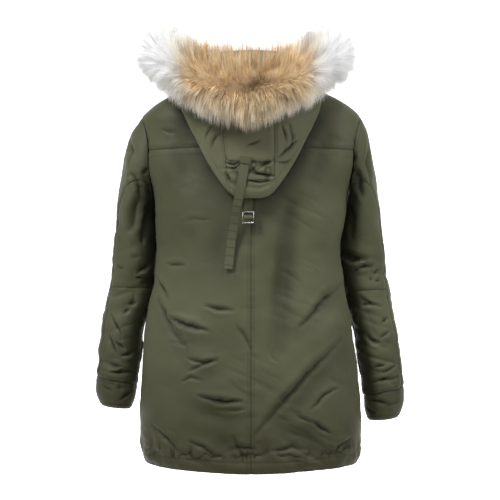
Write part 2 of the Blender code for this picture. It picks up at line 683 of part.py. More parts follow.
def round_edges(obj, width):
    rounding = obj.modifiers.new("rounding", "BEVEL")
    rounding.width = width
    rounding.segments = 1
    rounding.limit_method = "ANGLE"


def build_buckle(collection, cutters, webbing, metal):
    """A square buckle with a middle bar, and the short strap that runs behind its top bar round the middle."""
    x, y, z = BUCKLE_AT
    loop = math.hypot(BUCKLE_THICKNESS, BUCKLE_BAR) / 2 + SEAM_GAP + STRAP_THICKNESS / 2
    across, back = (1.0, 0.0, 0.0), (0.0, -1.0, 0.0)
    path = [
        (np.array([x, y + loop + 0.002, SHORT_STRAP_TOP]), across, back),
        (np.array([x, y + loop, z + BUCKLE_SIZE / 2 + 0.006]), across, back),
        (np.array([x, y + loop, z]), across, back),
    ]
    for degrees in range(-15, -271, -15):
        swing = math.radians(degrees)
        out = np.array([0.0, math.cos(swing), math.sin(swing)])
        path.append((np.array([x, y, z]) + out * loop, across, -out))
    ribbon("strap_short", path, SHORT_STRAP_WIDTH, STRAP_THICKNESS, webbing, collection)
    frame = box("buckle", (x, y, z), (BUCKLE_SIZE, BUCKLE_THICKNESS, BUCKLE_SIZE), metal, collection)
    opening = (BUCKLE_SIZE - 3 * BUCKLE_BAR) / 2
    size = (BUCKLE_SIZE - 2 * BUCKLE_BAR, 0.02, opening)
    for name, sign in (("lower", -1), ("upper", 1)):
        middle = (x, y, z + sign * (opening + BUCKLE_BAR) / 2)
        combine(frame, box(f"buckle_window_{name}", middle, size, metal, cutters), "DIFFERENCE")
    round_edges(frame, 0.0006)


def front_line(step):
    """The middle of the front from the collar's top (0) over the neckline (1) down to the hem (2)."""
    if step <= 1:
        return collar(180.0, COLLAR_HEIGHT * (1 - step))
    return body_smooth(180.0, NECK_LEVEL + (HEM_LEVEL - NECK_LEVEL) * (step - 1))


def front_ribbon(name, offset, depth, width, thickness, material, collection):
    """A strip down the middle of the front. depth is how far in its middle lies, offset how far to the right."""
    steps = list(np.linspace(0.0, 0.98, 3)) + list(np.linspace(1.01, 1.985, 18))
    stations = []
    for point, across, out in path_of([front_line(step) for step in steps]):
        out = -np.array(out)
        stations.append((point - out * depth + np.array([offset, 0, 0]), (1.0, 0.0, 0.0), out))
    return ribbon(name, stations, width, thickness, material, collection)


def build_zip(collection, cutters, webbing, metal):
    """The chain between the fronts, a tape behind each, and the slider with its pull tab, zipped right up."""
    chain_width = 2 * (ZIP_HALF_GAP - SEAM_GAP)
    front_ribbon("zip_chain", 0.0, 0.0016, chain_width, CHAIN_THICKNESS, metal, collection)
    tape_depth = CLOTH + 0.0020 + TAPE_THICKNESS / 2
    for name, side in (("left", -1), ("right", 1)):
        middle = side * (ZIP_HALF_GAP + TAPE_WIDTH / 2)
        front_ribbon(f"zip_tape_{name}", middle, tape_depth, TAPE_WIDTH, TAPE_THICKNESS, webbing, collection)
    top = front_line(0.0)
    seat = front_line(SLIDER_DROP / COLLAR_HEIGHT)
    face = seat[1] + 0.0007 + SLIDER_SIZE[1]
    middle = (0.0, face - SLIDER_SIZE[1] / 2, top[2] - SLIDER_DROP)
    pin = (0.0, face + HINGE_EYE + SEAM_GAP * 2, middle[2] - 0.002)
    slider = box("zip_slider", middle, SLIDER_SIZE, metal, collection)
    lug_x = EYE_WIDTH / 2 + SEAM_GAP + 0.0006
    reach = pin[1] + 0.0014 - face + 0.001
    for name, side in (("left", -1), ("right", 1)):
        lug_at = (side * lug_x, face - 0.001 + reach / 2, pin[2])
        lug = box(f"slider_lug_{name}", lug_at, (0.0012, reach, 0.0032), metal, cutters)
        combine(slider, lug, "UNION")
    combine(slider, rod("slider_pin", pin, HINGE_PIN, 2 * lug_x, metal, cutters), "UNION")
    build_pull(pin, collection, cutters, metal)


def build_pull(pin, collection, cutters, metal):
    """The pull tab, hanging from the slider's pin. Its own origin is on the pin."""
    neck, end = EYE_WIDTH / 2, PULL_WIDTH / 2
    drops = [0.0014, 0.006, 0.011, PULL_LENGTH - 0.002, PULL_LENGTH]
    halves = [neck, neck, end, end, end - 0.002]
    back, front = [], []
    for drop, half in zip(drops, halves):
        for row, y in ((back, -PULL_THICKNESS / 2), (front, PULL_THICKNESS / 2)):
            row.append([np.array([x, y, -drop]) for x in (-half, half)])
    pull = add_object("zip_pull", wall_mesh("zip_pull", np.array(front), np.array(back)), metal, collection)
    pull.location = pin
    eye = rod("pull_eye", pin, HINGE_EYE, EYE_WIDTH, metal, cutters)
    bore = rod("pull_bore", pin, HINGE_PIN + SEAM_GAP, EYE_WIDTH * 2, metal, cutters)
    combine(pull, eye, "UNION")
    combine(pull, bore, "DIFFERENCE")


def build():
    clear_scene()
    collection = bpy.data.collections.new("fur_trimmed_parka")
    cutters = bpy.data.collections.new("cutters")
    for group in (collection, cutters):
        bpy.context.scene.collection.children.link(group)
    cloth = make_material("olive_cloth", (0.105, 0.108, 0.062), 0.62)
    webbing = make_material("olive_webbing", (0.085, 0.086, 0.052), 0.75)
    metal = make_material("zinc_metal", (0.62, 0.62, 0.60), 0.30, 1.0)
    hair = make_material("raccoon_fur", (0.62, 0.50, 0.34), 0.85)
    build_body(collection, cloth)
    build_sleeve("right", 1, RIGHT_SLEEVE, collection, cloth)
    build_sleeve("left", -1, LEFT_SLEEVE, collection, cloth)
    build_collar(collection, cloth)
    build_hood(collection, cloth)
    build_fur(collection, hair)
    build_straps(collection, webbing, cloth)
    build_buckle(collection, cutters, webbing, metal)
    build_zip(collection, cutters, webbing, metal)


build()
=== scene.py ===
"""The fur trimmed parka as it looks: folded cloth on the solids' forms, long fur, straps, buckle, studio."""

import math
from types import SimpleNamespace

import bpy
import numpy as np
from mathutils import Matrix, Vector


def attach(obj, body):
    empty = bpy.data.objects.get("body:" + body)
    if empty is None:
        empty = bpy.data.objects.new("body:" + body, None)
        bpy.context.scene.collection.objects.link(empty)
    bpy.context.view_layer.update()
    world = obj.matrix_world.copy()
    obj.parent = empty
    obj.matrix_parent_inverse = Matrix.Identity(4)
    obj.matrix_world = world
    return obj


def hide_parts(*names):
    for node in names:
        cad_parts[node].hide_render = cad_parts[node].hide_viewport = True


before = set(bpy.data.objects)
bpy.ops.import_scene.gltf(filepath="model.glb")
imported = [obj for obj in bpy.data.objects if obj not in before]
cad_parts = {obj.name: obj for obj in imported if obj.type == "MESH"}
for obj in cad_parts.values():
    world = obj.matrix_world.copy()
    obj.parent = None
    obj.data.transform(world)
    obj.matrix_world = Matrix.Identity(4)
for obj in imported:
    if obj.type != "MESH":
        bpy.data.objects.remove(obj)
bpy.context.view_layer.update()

# Sizes, in metres. +Z up, +Y the way the wearer faces, +X the wearer's right.
CLOTH = 0.003
HOOD_CLOTH = 0.0022
NECK_LEVEL = 0.018
ARMHOLE_TOP = -0.062
ARMHOLE_BOTTOM = -0.2265
ARMHOLE_HALF_DEPTH = 0.072
YOKE_LEVEL = -0.14425
HEM_LEVEL = -0.826
HEM_BAND = 0.026
COLLAR_HEIGHT = 0.055
ZIP_HALF_GAP = 0.0045
HOOD_CLEARANCE = 0.005
FUR_CLEARANCE = 0.003
NECK_TO_FOLD = 0.42
FOLD_TO_EDGE = 0.52
HOOD_END = 166.0
HOOD_PANEL_SEAM = 24.0
HOOD_CROSS_SEAM = 0.66
ELBOW_ROW = 7.3
CUFF_ROW = 12.0
LAST_ROW = 14.0
FUR_SHIFT_X = -0.010
FUR_END = 172.0

# How strong the creases are made, how much shade is painted into the bottom of the deepest, how far a crease
# wavers, and the painted shade that makes the cloth darker and browner towards the hem.
BODY_CREASE = 1.35
SLEEVE_CREASE = 1.4
HOOD_CREASE = 1.5
CREASE_PAINTED_SHADE = 0.72
HEM_PAINTED_SHADE = np.array([0.40, 0.44, 0.48])
WAVER = 0.0028
DARKEST_DEPTH = 0.0045
DARKEST_WIDTH = 0.0065
STITCH_WIDTH = 0.0012
# Slope of the hood's outer side where it leaves the fold and where it meets the ruff.
HOOD_SWEEP = 0.9
# How far the longest hair goes past the ruff's tables, and how much higher the upper hair stands.
FUR_REACH = 1.09
CLUMPS = 2600
UPPER_FUR = 0.12
UPPER_FUR_BACK = 0.12
# How much shade is painted into a seam's groove.
SEAM_PAINTED_SHADE = 0.42


class Table:
    """Rows of named columns, read at any values of the first one on smooth cubic curves."""

    def __init__(self, columns, rows):
        self.names = columns.split()
        self.rows = np.array(sorted(rows), float)
        self.slopes = np.gradient(self.rows, self.rows[:, 0], axis=0)

    def at(self, key):
        keys = self.rows[:, 0]
        key = np.clip(np.asarray(key, float), keys[0], keys[-1])
        low = np.clip(np.searchsorted(keys, key, side="right") - 1, 0, len(keys) - 2)
        span = (keys[low + 1] - keys[low])[..., None]
        t = (key - keys[low])[..., None] / span
        start, end = self.rows[low], self.rows[low + 1]
        value = hermite(start, end, self.slopes[low] * span, self.slopes[low + 1] * span, t)
        return SimpleNamespace(**{name: value[..., i] for i, name in enumerate(self.names)})


# Body sections, from the neck to the hem. left, right, back and front are the reach from the middle, square
# is how boxy the section is (2 is an ellipse), and the dips lower the middle of the back and of the front.
BODY = Table(
    "level left right back front square dip_back dip_front",
    [
        (NECK_LEVEL, 0.092, 0.092, 0.080, 0.078, 2.0, 0.000, -0.045),
        (0.008, 0.118, 0.118, 0.085, 0.083, 2.1, 0.000, -0.042),
        (-0.003, 0.143, 0.144, 0.090, 0.088, 2.2, 0.000, -0.038),
        (-0.014, 0.167, 0.169, 0.094, 0.092, 2.3, 0.001, -0.034),
        (-0.029, 0.194, 0.197, 0.099, 0.096, 2.4, 0.002, -0.029),
        (-0.045, 0.218, 0.221, 0.104, 0.101, 2.6, 0.003, -0.024),
        (ARMHOLE_TOP, 0.238, 0.239, 0.109, 0.107, 2.8, 0.004, -0.020),
        (-0.090, 0.243, 0.243, 0.114, 0.113, 3.0, 0.006, -0.015),
        (-0.130, 0.242, 0.242, 0.121, 0.121, 3.0, 0.008, -0.009),
        (-0.170, 0.235, 0.235, 0.128, 0.128, 3.0, 0.006, -0.004),
        (-0.200, 0.225, 0.225, 0.132, 0.132, 2.9, 0.005, -0.002),
        (ARMHOLE_BOTTOM, 0.217, 0.216, 0.135, 0.135, 2.8, 0.004, 0.000),
        (-0.285, 0.211, 0.208, 0.137, 0.134, 2.7, 0.000, 0.000),
        (-0.357, 0.209, 0.197, 0.134, 0.130, 2.6, 0.000, 0.000),
        (-0.435, 0.216, 0.207, 0.135, 0.131, 2.5, 0.000, 0.000),
        (-0.520, 0.233, 0.223, 0.141, 0.135, 2.4, -0.002, 0.000),
        (-0.600, 0.239, 0.233, 0.146, 0.139, 2.4, -0.005, -0.002),
        (-0.690, 0.243, 0.240, 0.150, 0.142, 2.4, -0.006, -0.004),
        (-0.760, 0.243, 0.243, 0.152, 0.144, 2.4, -0.009, -0.006),
        (-0.800, 0.240, 0.242, 0.151, 0.144, 2.4, -0.010, -0.007),
        (HEM_LEVEL, 0.231, 0.235, 0.146, 0.140, 2.4, -0.010, -0.007),
    ],
)

# Sleeve sections, from the armhole to the cuff. reach is half of the depth from front to back and y its
# middle. back_seam and front_seam are where the long seams run, in degrees from the outer edge over the back.
SLEEVE_FORM = [
    # reach, y, back_seam, front_seam
    (0.072, 0.000, 150, 215),
    (0.074, 0.003, 140, 212),
    (0.076, 0.008, 112, 208),
    (0.076, 0.017, 62, 203),
    (0.075, 0.029, 36, 198),
    (0.073, 0.039, 30, 194),
    (0.070, 0.044, 29, 189),
    (0.066, 0.045, 30, 184),
    (0.062, 0.045, 32, 178),
    (0.059, 0.045, 34, 174),
    (0.056, 0.046, 36, 172),
    (0.053, 0.047, 37, 171),
    (0.050, 0.048, 37, 171),
    (0.047, 0.049, 37, 171),
    (0.043, 0.050, 37, 171),
]


def sleeve_table(*edges):
    """Rows of the edge away from the body (outer_x, outer_z) and the edge beside it (inner_x, inner_z)."""
    columns = "row outer_x outer_z inner_x inner_z reach y back_seam front_seam"
    return Table(columns, [(row, *edge, *form) for row, (edge, form) in enumerate(zip(edges, SLEEVE_FORM))])


RIGHT_SLEEVE = sleeve_table(
    (0.2390, -0.062, 0.2160, -0.2265),
    (0.2560, -0.093, 0.2190, -0.2330),
    (0.2675, -0.143, 0.2165, -0.2420),
    (0.2785, -0.205, 0.2115, -0.2620),
    (0.2875, -0.264, 0.2050, -0.2920),
    (0.2930, -0.310, 0.1990, -0.3270),
    (0.2990, -0.366, 0.1965, -0.3760),
    (0.3080, -0.430, 0.2045, -0.4360),
    (0.3165, -0.483, 0.2135, -0.4860),
    (0.3260, -0.540, 0.2290, -0.5440),
    (0.3345, -0.587, 0.2385, -0.5920),
    (0.3405, -0.628, 0.2460, -0.6400),
    (0.3435, -0.666, 0.2530, -0.6840),
    (0.3425, -0.706, 0.2570, -0.7170),
    (0.3340, -0.736, 0.2620, -0.7420),
)
LEFT_SLEEVE = sleeve_table(
    (0.2380, -0.062, 0.2170, -0.2265),
    (0.2590, -0.096, 0.2200, -0.2330),
    (0.2765, -0.143, 0.2175, -0.2410),
    (0.2895, -0.205, 0.2130, -0.2600),
    (0.2980, -0.260, 0.2085, -0.2900),
    (0.3040, -0.312, 0.2070, -0.3270),
    (0.3095, -0.370, 0.2070, -0.3760),
    (0.3165, -0.425, 0.2125, -0.4300),
    (0.3265, -0.478, 0.2220, -0.4820),
    (0.3370, -0.527, 0.2375, -0.5340),
    (0.3420, -0.568, 0.2440, -0.5780),
    (0.3445, -0.607, 0.2500, -0.6220),
    (0.3460, -0.641, 0.2570, -0.6600),
    (0.3455, -0.682, 0.2630, -0.6930),
    (0.3380, -0.708, 0.2680, -0.7160),
)
# The hood lies open on the back as a pouch. angle is where a section leaves the neckline (0 is the middle of
# the back). It runs down the shoulders to its fold, at fold_angle and fold_level on the body, turns out by
# gap and comes up again to the fur edge, standing out by bulge halfway. tuck is how far down the inner side
# of the ruff that edge is, in degrees.
HOOD = Table(
    "angle fold_angle fold_level gap bulge tuck",
    [
        (0, 0.0, -0.236, 0.040, 0.013, 8),
        (12, 10.5, -0.235, 0.040, 0.013, 14),
        (24, 19.5, -0.224, 0.038, 0.013, 26),
        (34, 29.0, -0.194, 0.034, 0.012, 36),
        (44, 38.0, -0.156, 0.030, 0.010, 44),
        (54, 45.5, -0.118, 0.026, 0.008, 50),
        (64, 52.0, -0.084, 0.022, 0.006, 54),
        (75, 58.0, -0.050, 0.015, 0.003, 60),
        (88, 69.0, -0.014, 0.011, 0.001, 62),
        (105, 87.0, 0.003, 0.010, 0.000, 62),
        (125, 108.0, 0.006, 0.010, 0.000, 56),
        (145, 133.0, 0.003, 0.010, 0.000, 46),
        (168, 160.0, 0.002, 0.010, 0.000, 30),
    ],
)
# The fur ruff, by its middle line. up and out are the reach of the hair from that line.
FUR = Table(
    "angle x y z up out",
    [
        (0, 0.000, -0.2250, -0.030, 0.089, 0.050),
        (20, 0.062, -0.2190, -0.018, 0.082, 0.050),
        (40, 0.118, -0.1900, 0.009, 0.080, 0.053),
        (60, 0.158, -0.1350, 0.038, 0.076, 0.058),
        (80, 0.180, -0.0650, 0.066, 0.068, 0.064),
        (100, 0.183, 0.0050, 0.074, 0.066, 0.064),
        (120, 0.166, 0.0700, 0.062, 0.064, 0.058),
        (140, 0.128, 0.1180, 0.032, 0.060, 0.050),
        (158, 0.083, 0.1460, -0.004, 0.050, 0.042),
        (172, 0.052, 0.1560, -0.030, 0.036, 0.030),
    ],
)


def crease_rows(*rows):
    """Rows in millimetres: depth, width, lean and the (x, z) points down the crease. lean 1 puts its ridge on
    the left of the run, -1 on the right, 0 on both sides."""
    return [
        ([(x / 1000, z / 1000) for x, z in points], depth / 1000, width / 1000, lean)
        for depth, width, lean, *points in rows
    ]


# Creases on the back.
BACK_CREASES = crease_rows(
    (2.8, 5, 0.6, (-180, -389), (-142, -392)),
    (3.6, 5.5, 0.7, (-206, -417), (-192, -437), (-180, -463)),
    (5.2, 7.5, 0.8, (-201, -464), (-190, -492), (-166, -541), (-138, -570)),
    (3.4, 5, -0.6, (-99, -478), (-72, -486), (-38, -489)),
    (5.6, 7, 0.8, (-176, -503), (-138, -522), (-93, -531)),
    (3, 5, -0.5, (-140, -590), (-105, -600), (-70, -594)),
    (2.6, 5, 0.5, (-136, -620), (-105, -604), (-72, -589)),
    (4, 5.5, 0.7, (-110, -668), (-66, -680), (-20, -680)),
    (2.6, 5, -0.5, (-85, -699), (-50, -702), (-12, -697)),
    (4.6, 8, -0.8, (203, -420), (160, -465), (106, -524)),
    (4.6, 9, -0.8, (194, -553), (130, -615), (53, -700), (12, -748)),
    (3.2, 5, 0.6, (55, -705), (85, -728)),
    (3.2, 5.5, 0.6, (130, -724), (150, -739), (171, -750)),
    (3.4, 5.5, -0.5, (216, -766), (196, -776), (177, -793)),
    (2, 4.5, 0.4, (-192, -100), (-176, -106), (-160, -107)),
    (1.6, 4.5, 0.3, (-150, -300), (-120, -292), (-85, -296)),
    (1.8, 5, 0.4, (-30, -520), (-10, -548), (0, -580)),
    (2.6, 6, 0.4, (52, -470), (66, -510), (76, -548)),
    (2.4, 4.5, 0.5, (36, -560), (50, -590), (60, -604)),
    (2.2, 4.2, 0.5, (-150, -640), (-128, -632), (-100, -640)),
    (2.2, 4.5, 0.4, (-180, -556), (-150, -560), (-118, -554)),
    (2.4, 4.5, 0.5, (78, -690), (104, -712), (132, -730)),
    (2.4, 4.5, -0.5, (60, -740), (92, -756), (120, -758)),
    (2.6, 5, -0.5, (186, -655), (160, -668), (128, -700)),
    (3, 5.5, 0.5, (-60, -790), (-20, -776), (20, -786)),
    (3.4, 5.5, -0.5, (40, -790), (85, -778), (130, -788)),
    (3, 5.5, 0.5, (-215, -735), (-180, -765), (-150, -790)),
    (3, 5, 0.5, (-130, -765), (-95, -782), (-70, -800)),
    (3, 6, 0.4, (-40, -755), (-20, -790), (-14, -815)),
)
# The same on the hidden front.
FRONT_CREASES = crease_rows(
    (4, 8.5, 0.6, (-205, -260), (-170, -300), (-120, -330)),
    (4, 8.5, -0.6, (205, -255), (176, -292), (135, -316)),
    (4.6, 8, 0.7, (-200, -430), (-150, -480), (-95, -515)),
    (4.4, 8, -0.7, (195, -440), (150, -482), (80, -500)),
    (4, 7.5, 0.6, (-215, -560), (-160, -590), (-120, -640)),
    (4.8, 8.5, -0.7, (200, -550), (140, -610), (60, -650)),
    (3.4, 6, 0.5, (80, -700), (120, -730), (165, -742)),
    (3.6, 6.5, -0.5, (-60, -660), (-100, -700), (-165, -725)),
    (2.6, 6, 0.5, (-30, -380), (-70, -400), (-115, -402)),
)
# The broad soft hollows: side, (x, z) to (x_end, z_end), depth (a swell is negative) and half width.
FOLD_COLUMNS = "side x z x_end z_end depth width"
FOLDS = [
    ("back", 0.083, -0.275, 0.062, -0.570, 0.015, 0.022),
    ("back", 0.195, -0.440, 0.110, -0.550, 0.006, 0.020),
    ("back", 0.190, -0.590, 0.050, -0.730, 0.007, 0.026),
    ("back", 0.055, -0.735, 0.165, -0.800, 0.006, 0.022),
    ("back", -0.200, -0.495, -0.140, -0.600, 0.005, 0.020),
    ("back", -0.175, -0.535, -0.100, -0.565, 0.005, 0.018),
    ("back", -0.110, -0.705, -0.025, -0.720, 0.006, 0.020),
    ("back", -0.080, -0.760, -0.030, -0.800, 0.005, 0.024),
    ("back", 0.020, -0.760, 0.040, -0.830, 0.006, 0.024),
    ("back", -0.120, -0.640, -0.070, -0.625, 0.004, 0.018),
    ("back", -0.060, -0.300, -0.075, -0.430, 0.005, 0.030),
    ("back", 0.150, -0.300, 0.140, -0.400, -0.005, 0.030),
    ("back", -0.130, -0.230, -0.150, -0.330, -0.004, 0.030),
    ("back", -0.168, -0.125, -0.134, -0.215, 0.010, 0.022),
    ("back", 0.180, -0.090, 0.135, -0.200, 0.010, 0.023),
    ("back", 0.030, -0.300, 0.020, -0.480, -0.003, 0.030),
    ("front", -0.150, -0.300, -0.060, -0.420, 0.007, 0.024),
    ("front", 0.150, -0.330, 0.075, -0.440, 0.007, 0.024),
    ("front", -0.180, -0.560, -0.060, -0.660, 0.007, 0.024),
    ("front", 0.185, -0.600, 0.070, -0.690, 0.007, 0.024),
    ("front", 0.060, -0.180, 0.110, -0.300, 0.006, 0.024),
    ("front", -0.070, -0.180, -0.115, -0.290, 0.006, 0.024),
]


def unit(vector):
    return vector / np.linalg.norm(vector, axis=-1, keepdims=True)


def smooth_step(value):
    value = np.clip(value, 0, 1)
    return value * value * (3 - 2 * value)


def bell(distance, width):
    """1 at no distance, fading smoothly to nothing at about twice the width."""
    return np.exp(-((distance / width) ** 2))


def hermite(start, end, lean, lean_end, t):
    """A cubic curve from start to end that leaves and arrives with those slopes."""
    return (
        start * (1 - t) ** 2 * (1 + 2 * t)
        + lean * t * (1 - t) ** 2
        + end * t**2 * (3 - 2 * t)
        - lean_end * t**2 * (1 - t)
    )


def mixed(low, high, share):
    """From one colour or place to the other, by each one's share."""
    return np.asarray(low) * (1 - share[..., None]) + np.asarray(high) * share[..., None]


def hashed(x, y, z, seed):
    """A repeatable value from -1 to 1 for each whole-numbered place."""
    mixed = (
        x.astype(np.uint32) * np.uint32(374761393)
        + y.astype(np.uint32) * np.uint32(668265263)
        + z.astype(np.uint32) * np.uint32(2246822519)
        + np.uint32((seed * 3266489917) % 2**32)
    )
    mixed = (mixed ^ (mixed >> np.uint32(15))) * np.uint32(2246822519)
    mixed = (mixed ^ (mixed >> np.uint32(13))) * np.uint32(3266489917)
    return ((mixed ^ (mixed >> np.uint32(16))) & np.uint32(0xFFFFFF)) / 8388607.5 - 1


def noise(points, scale, seed=0):
    """Smooth noise from -1 to 1 over points, with features of that size."""
    spot = np.asarray(points) / np.asarray(scale)
    low = np.floor(spot).astype(np.int64)
    part = spot - low
    part = part * part * part * (part * (part * 6 - 15) + 10)
    low = low + 100000
    total = 0.0
    for corner in range(8):
        pick = [(corner >> axis) & 1 for axis in range(3)]
        weight = 1.0
        for axis in range(3):
            weight = weight * (part[..., axis] if pick[axis] else 1 - part[..., axis])
        total = total + weight * hashed(*(low[..., axis] + pick[axis] for axis in range(3)), seed)
    return total


def ridged(points, scale, seed=0):
    """Noise with sharp valleys, from 0 in a valley to 1."""
    return np.sqrt(np.abs(noise(points, scale, seed)) + 0.004)


def hollows(side, x, z):
    total = np.zeros_like(x)
    for row in FOLDS:
        fold = SimpleNamespace(**dict(zip(FOLD_COLUMNS.split(), row)))
        if fold.side != side:
            continue
        run = np.array([fold.x_end - fold.x, fold.z_end - fold.z])
        away_x, away_z = x - fold.x, z - fold.z
        along = np.clip((away_x * run[0] + away_z * run[1]) / (run @ run), 0, 1)
        distance = np.hypot(away_x - along * run[0], away_z - along * run[1])
        total += fold.depth * np.sin(math.pi * (0.15 + 0.7 * along)) * bell(distance, fold.width)
    return total


def crease_height(points, normals, line, depth, width, lean):
    """How far a crease moves each point out, a valley with a rounded ridge beside it, and how much shade is
    painted into it.
    """
    line = np.asarray(line, float)
    waver = np.zeros_like(points)
    waver[..., 0], waver[..., 2] = noise(points, (0.020, 0.020, 0.014), 81), noise(points, 0.013, 82)
    points = points + waver * min(0.55 * width, WAVER)
    lengths = np.linalg.norm(np.diff(line, axis=0), axis=1)
    reached = np.concatenate([[0], np.cumsum(lengths)]) / lengths.sum()
    nearest = np.full(points.shape[:-1], 1e9)
    place = np.zeros_like(nearest)
    sign = np.zeros_like(nearest)
    for i in range(len(line) - 1):
        run = line[i + 1] - line[i]
        along = np.clip(((points - line[i]) @ run) / (run @ run), 0, 1)
        away = points - (line[i] + along[..., None] * run)
        distance = np.linalg.norm(away, axis=-1)
        closer = distance < nearest
        side = np.sum(np.cross(normals, run) * away, axis=-1)
        nearest = np.where(closer, distance, nearest)
        place = np.where(closer, reached[i] + along * (reached[i + 1] - reached[i]), place)
        sign = np.where(closer, np.tanh(side / (np.linalg.norm(run) * width * 0.4)), sign)
    fade = np.sin(math.pi * np.clip(0.08 + 0.84 * place, 0, 1)) ** 0.8
    taper = width * (0.30 + 0.62 * fade)
    tight = taper * (1 - 0.35 * lean * sign)
    valley = bell(nearest, tight)
    ridge = bell(nearest - 1.9 * taper, 1.4 * taper) * (0.5 + 0.5 * lean * sign)
    core = bell(nearest, 0.5 * tight) + 0.35 * valley
    strength = min(depth / DARKEST_DEPTH, 1.0) * min(DARKEST_WIDTH / width, 1.0)
    return depth * fade * (0.38 * ridge - valley), fade * core * strength


def body_smooth(angle, level):
    """The body with no folds. angle is in degrees from the middle of the back, positive to the right."""
    angle, level = np.broadcast_arrays(np.asarray(angle, float), np.asarray(level, float))
    row = BODY.at(level)
    sine, cosine = np.sin(np.radians(angle)), np.cos(np.radians(angle))
    across = np.where(sine >= 0, row.right, row.left)
    along = np.where(cosine >= 0, row.back, row.front)
    reach = (np.abs(sine / across) ** row.square + np.abs(cosine / along) ** row.square) ** (-1 / row.square)
    dip = np.where(cosine >= 0, row.dip_back, row.dip_front)
    return np.stack([reach * sine, -reach * cosine, level + dip * cosine**2], axis=-1)


def body(angle, level):
    point = body_smooth(angle, level)
    cosine = np.cos(np.radians(angle))
    x, z = point[..., 0], point[..., 2]
    depth = np.where(cosine >= 0, hollows("back", x, z), hollows("front", x, z))
    inward = point * np.array([-1.0, -1.0, 0.0])
    return point + unit(inward) * depth[..., None]


def armhole_angle(level, front=False):
    """Where a body section meets the armhole, or the side seam below it and the shoulder seam above it."""
    level = np.asarray(level, float)
    middle, half = (ARMHOLE_TOP + ARMHOLE_BOTTOM) / 2, (ARMHOLE_TOP - ARMHOLE_BOTTOM) / 2
    share = np.clip((level - middle) / half, -1, 1)
    depth = ARMHOLE_HALF_DEPTH * np.sqrt(1 - share**2)
    row = BODY.at(level)
    along = row.front if front else row.back
    across = (row.left + row.right) / 2 * (1 - (depth / along) ** row.square) ** (1 / row.square)
    angle = np.degrees(np.arctan2(across, depth))
    return 180.0 - angle if front else angle


def armhole(side, angle):
    """A point of the armhole seam, by degrees from its top over the back. side is 1 right, -1 left."""
    middle, half = (ARMHOLE_TOP + ARMHOLE_BOTTOM) / 2, (ARMHOLE_TOP - ARMHOLE_BOTTOM) / 2
    level = middle + half * np.cos(np.radians(angle))
    at_front = np.sin(np.radians(angle)) < -1e-9
    around = np.where(at_front, armhole_angle(level, True), armhole_angle(level))
    return body(side * around, level)


def sleeve_ring(side, table, angle, row):
    at = table.at(row)
    cosine, sine = np.cos(np.radians(angle)), np.sin(np.radians(angle))
    x = (at.outer_x + at.inner_x) / 2 + (at.outer_x - at.inner_x) / 2 * cosine
    z = (at.outer_z + at.inner_z) / 2 + (at.outer_z - at.inner_z) / 2 * cosine
    return np.stack([side * x, at.y - at.reach * sine, z], axis=-1)


def sleeve(side, table):
    """The outer surface of a sleeve: surface(angle, row), which starts on its armhole."""

    def surface(angle, row):
        angle, row = np.broadcast_arrays(np.asarray(angle, float), np.asarray(row, float))
        fade = np.clip(1 - row / 3, 0, 1)[..., None] ** 2
        point = sleeve_ring(side, table, angle, row)
        point = point + (armhole(side, angle) - sleeve_ring(side, table, angle, 0 * row)) * fade
        return point + np.array([side * 0.0006, 0, 0])

    return surface


def collar(angle, height):
    point = body_smooth(angle, NECK_LEVEL)
    lean = 0.965 - 0.6 * height
    return np.stack([point[..., 0] * lean, point[..., 1] * lean, point[..., 2] + 0.0006 + height], axis=-1)


def fur_middle(angle):
    at = FUR.at(np.abs(angle))
    return np.stack([np.copysign(at.x, angle) + FUR_SHIFT_X, at.y, at.z], axis=-1)


def fur_out(angle):
    """The level direction from the neck out through the ruff, square to its middle line."""
    run = fur_middle(np.minimum(angle + 1, FUR_END)) - fur_middle(np.maximum(angle - 1, -FUR_END))
    return unit(np.stack([run[..., 1], -run[..., 0], 0 * run[..., 0]], axis=-1))


def fur_edge(angle, tuck):
    """Where the hood ends beside the hair: on its inner side, tuck degrees down."""
    at = FUR.at(np.abs(angle))
    swing = np.radians(180 + tuck)
    level = fur_out(angle) * ((at.out + FUR_CLEARANCE) * np.cos(swing))[..., None]
    level[..., 2] += (at.up + FUR_CLEARANCE) * np.sin(swing)
    return fur_middle(angle) + level


def body_normal(angle, level):
    across = body_smooth(angle + 0.5, level) - body_smooth(angle - 0.5, level)
    low = np.clip(level - 0.001, HEM_LEVEL, NECK_LEVEL - 0.002)
    up = body_smooth(angle, low + 0.002) - body_smooth(angle, low)
    return unit(np.cross(across, up))


def hood(angle, way):
    """The outside of the hood. way goes from 0 at the neckline to 1 at the fur edge."""
    angle, way = np.broadcast_arrays(np.asarray(angle, float), np.asarray(way, float))
    at = HOOD.at(np.abs(angle))
    fold_angle = np.copysign(at.fold_angle, angle)

    def lying(part):
        around = angle + (fold_angle - angle) * part
        level = NECK_LEVEL + (at.fold_level - NECK_LEVEL) * part
        lift = HOOD_CLEARANCE + 0.002 * (1 - part)
        return body_smooth(around, level) + body_normal(around, level) * lift[..., None]

    fold = lying(np.ones_like(way))
    down = unit(fold - lying(np.full_like(way, 0.96)))
    out = body_normal(fold_angle, at.fold_level)
    gap = at.gap[..., None]
    turn = (math.pi * np.clip((way - NECK_TO_FOLD) / (FOLD_TO_EDGE - NECK_TO_FOLD), 0, 1))[..., None]
    turning = fold + out * gap / 2 * (1 - np.cos(turn)) + down * gap / 2 * np.sin(turn)
    start = fold + out * gap
    edge = fur_edge(angle, at.tuck)
    part = np.clip((way - FOLD_TO_EDGE) / (1 - FOLD_TO_EDGE), 0, 1)[..., None]
    span = np.linalg.norm(edge - start, axis=-1, keepdims=True)
    rising = hermite(start, edge, -down * span * HOOD_SWEEP, (edge - start) * HOOD_SWEEP, part)
    rising = rising + out * at.bulge[..., None] * np.sin(math.pi * part)
    way = way[..., None]
    first = lying(np.clip(way[..., 0] / NECK_TO_FOLD, 0, 1))
    return np.where(way <= NECK_TO_FOLD, first, np.where(way <= FOLD_TO_EDGE, turning, rising))


# Building cloth.


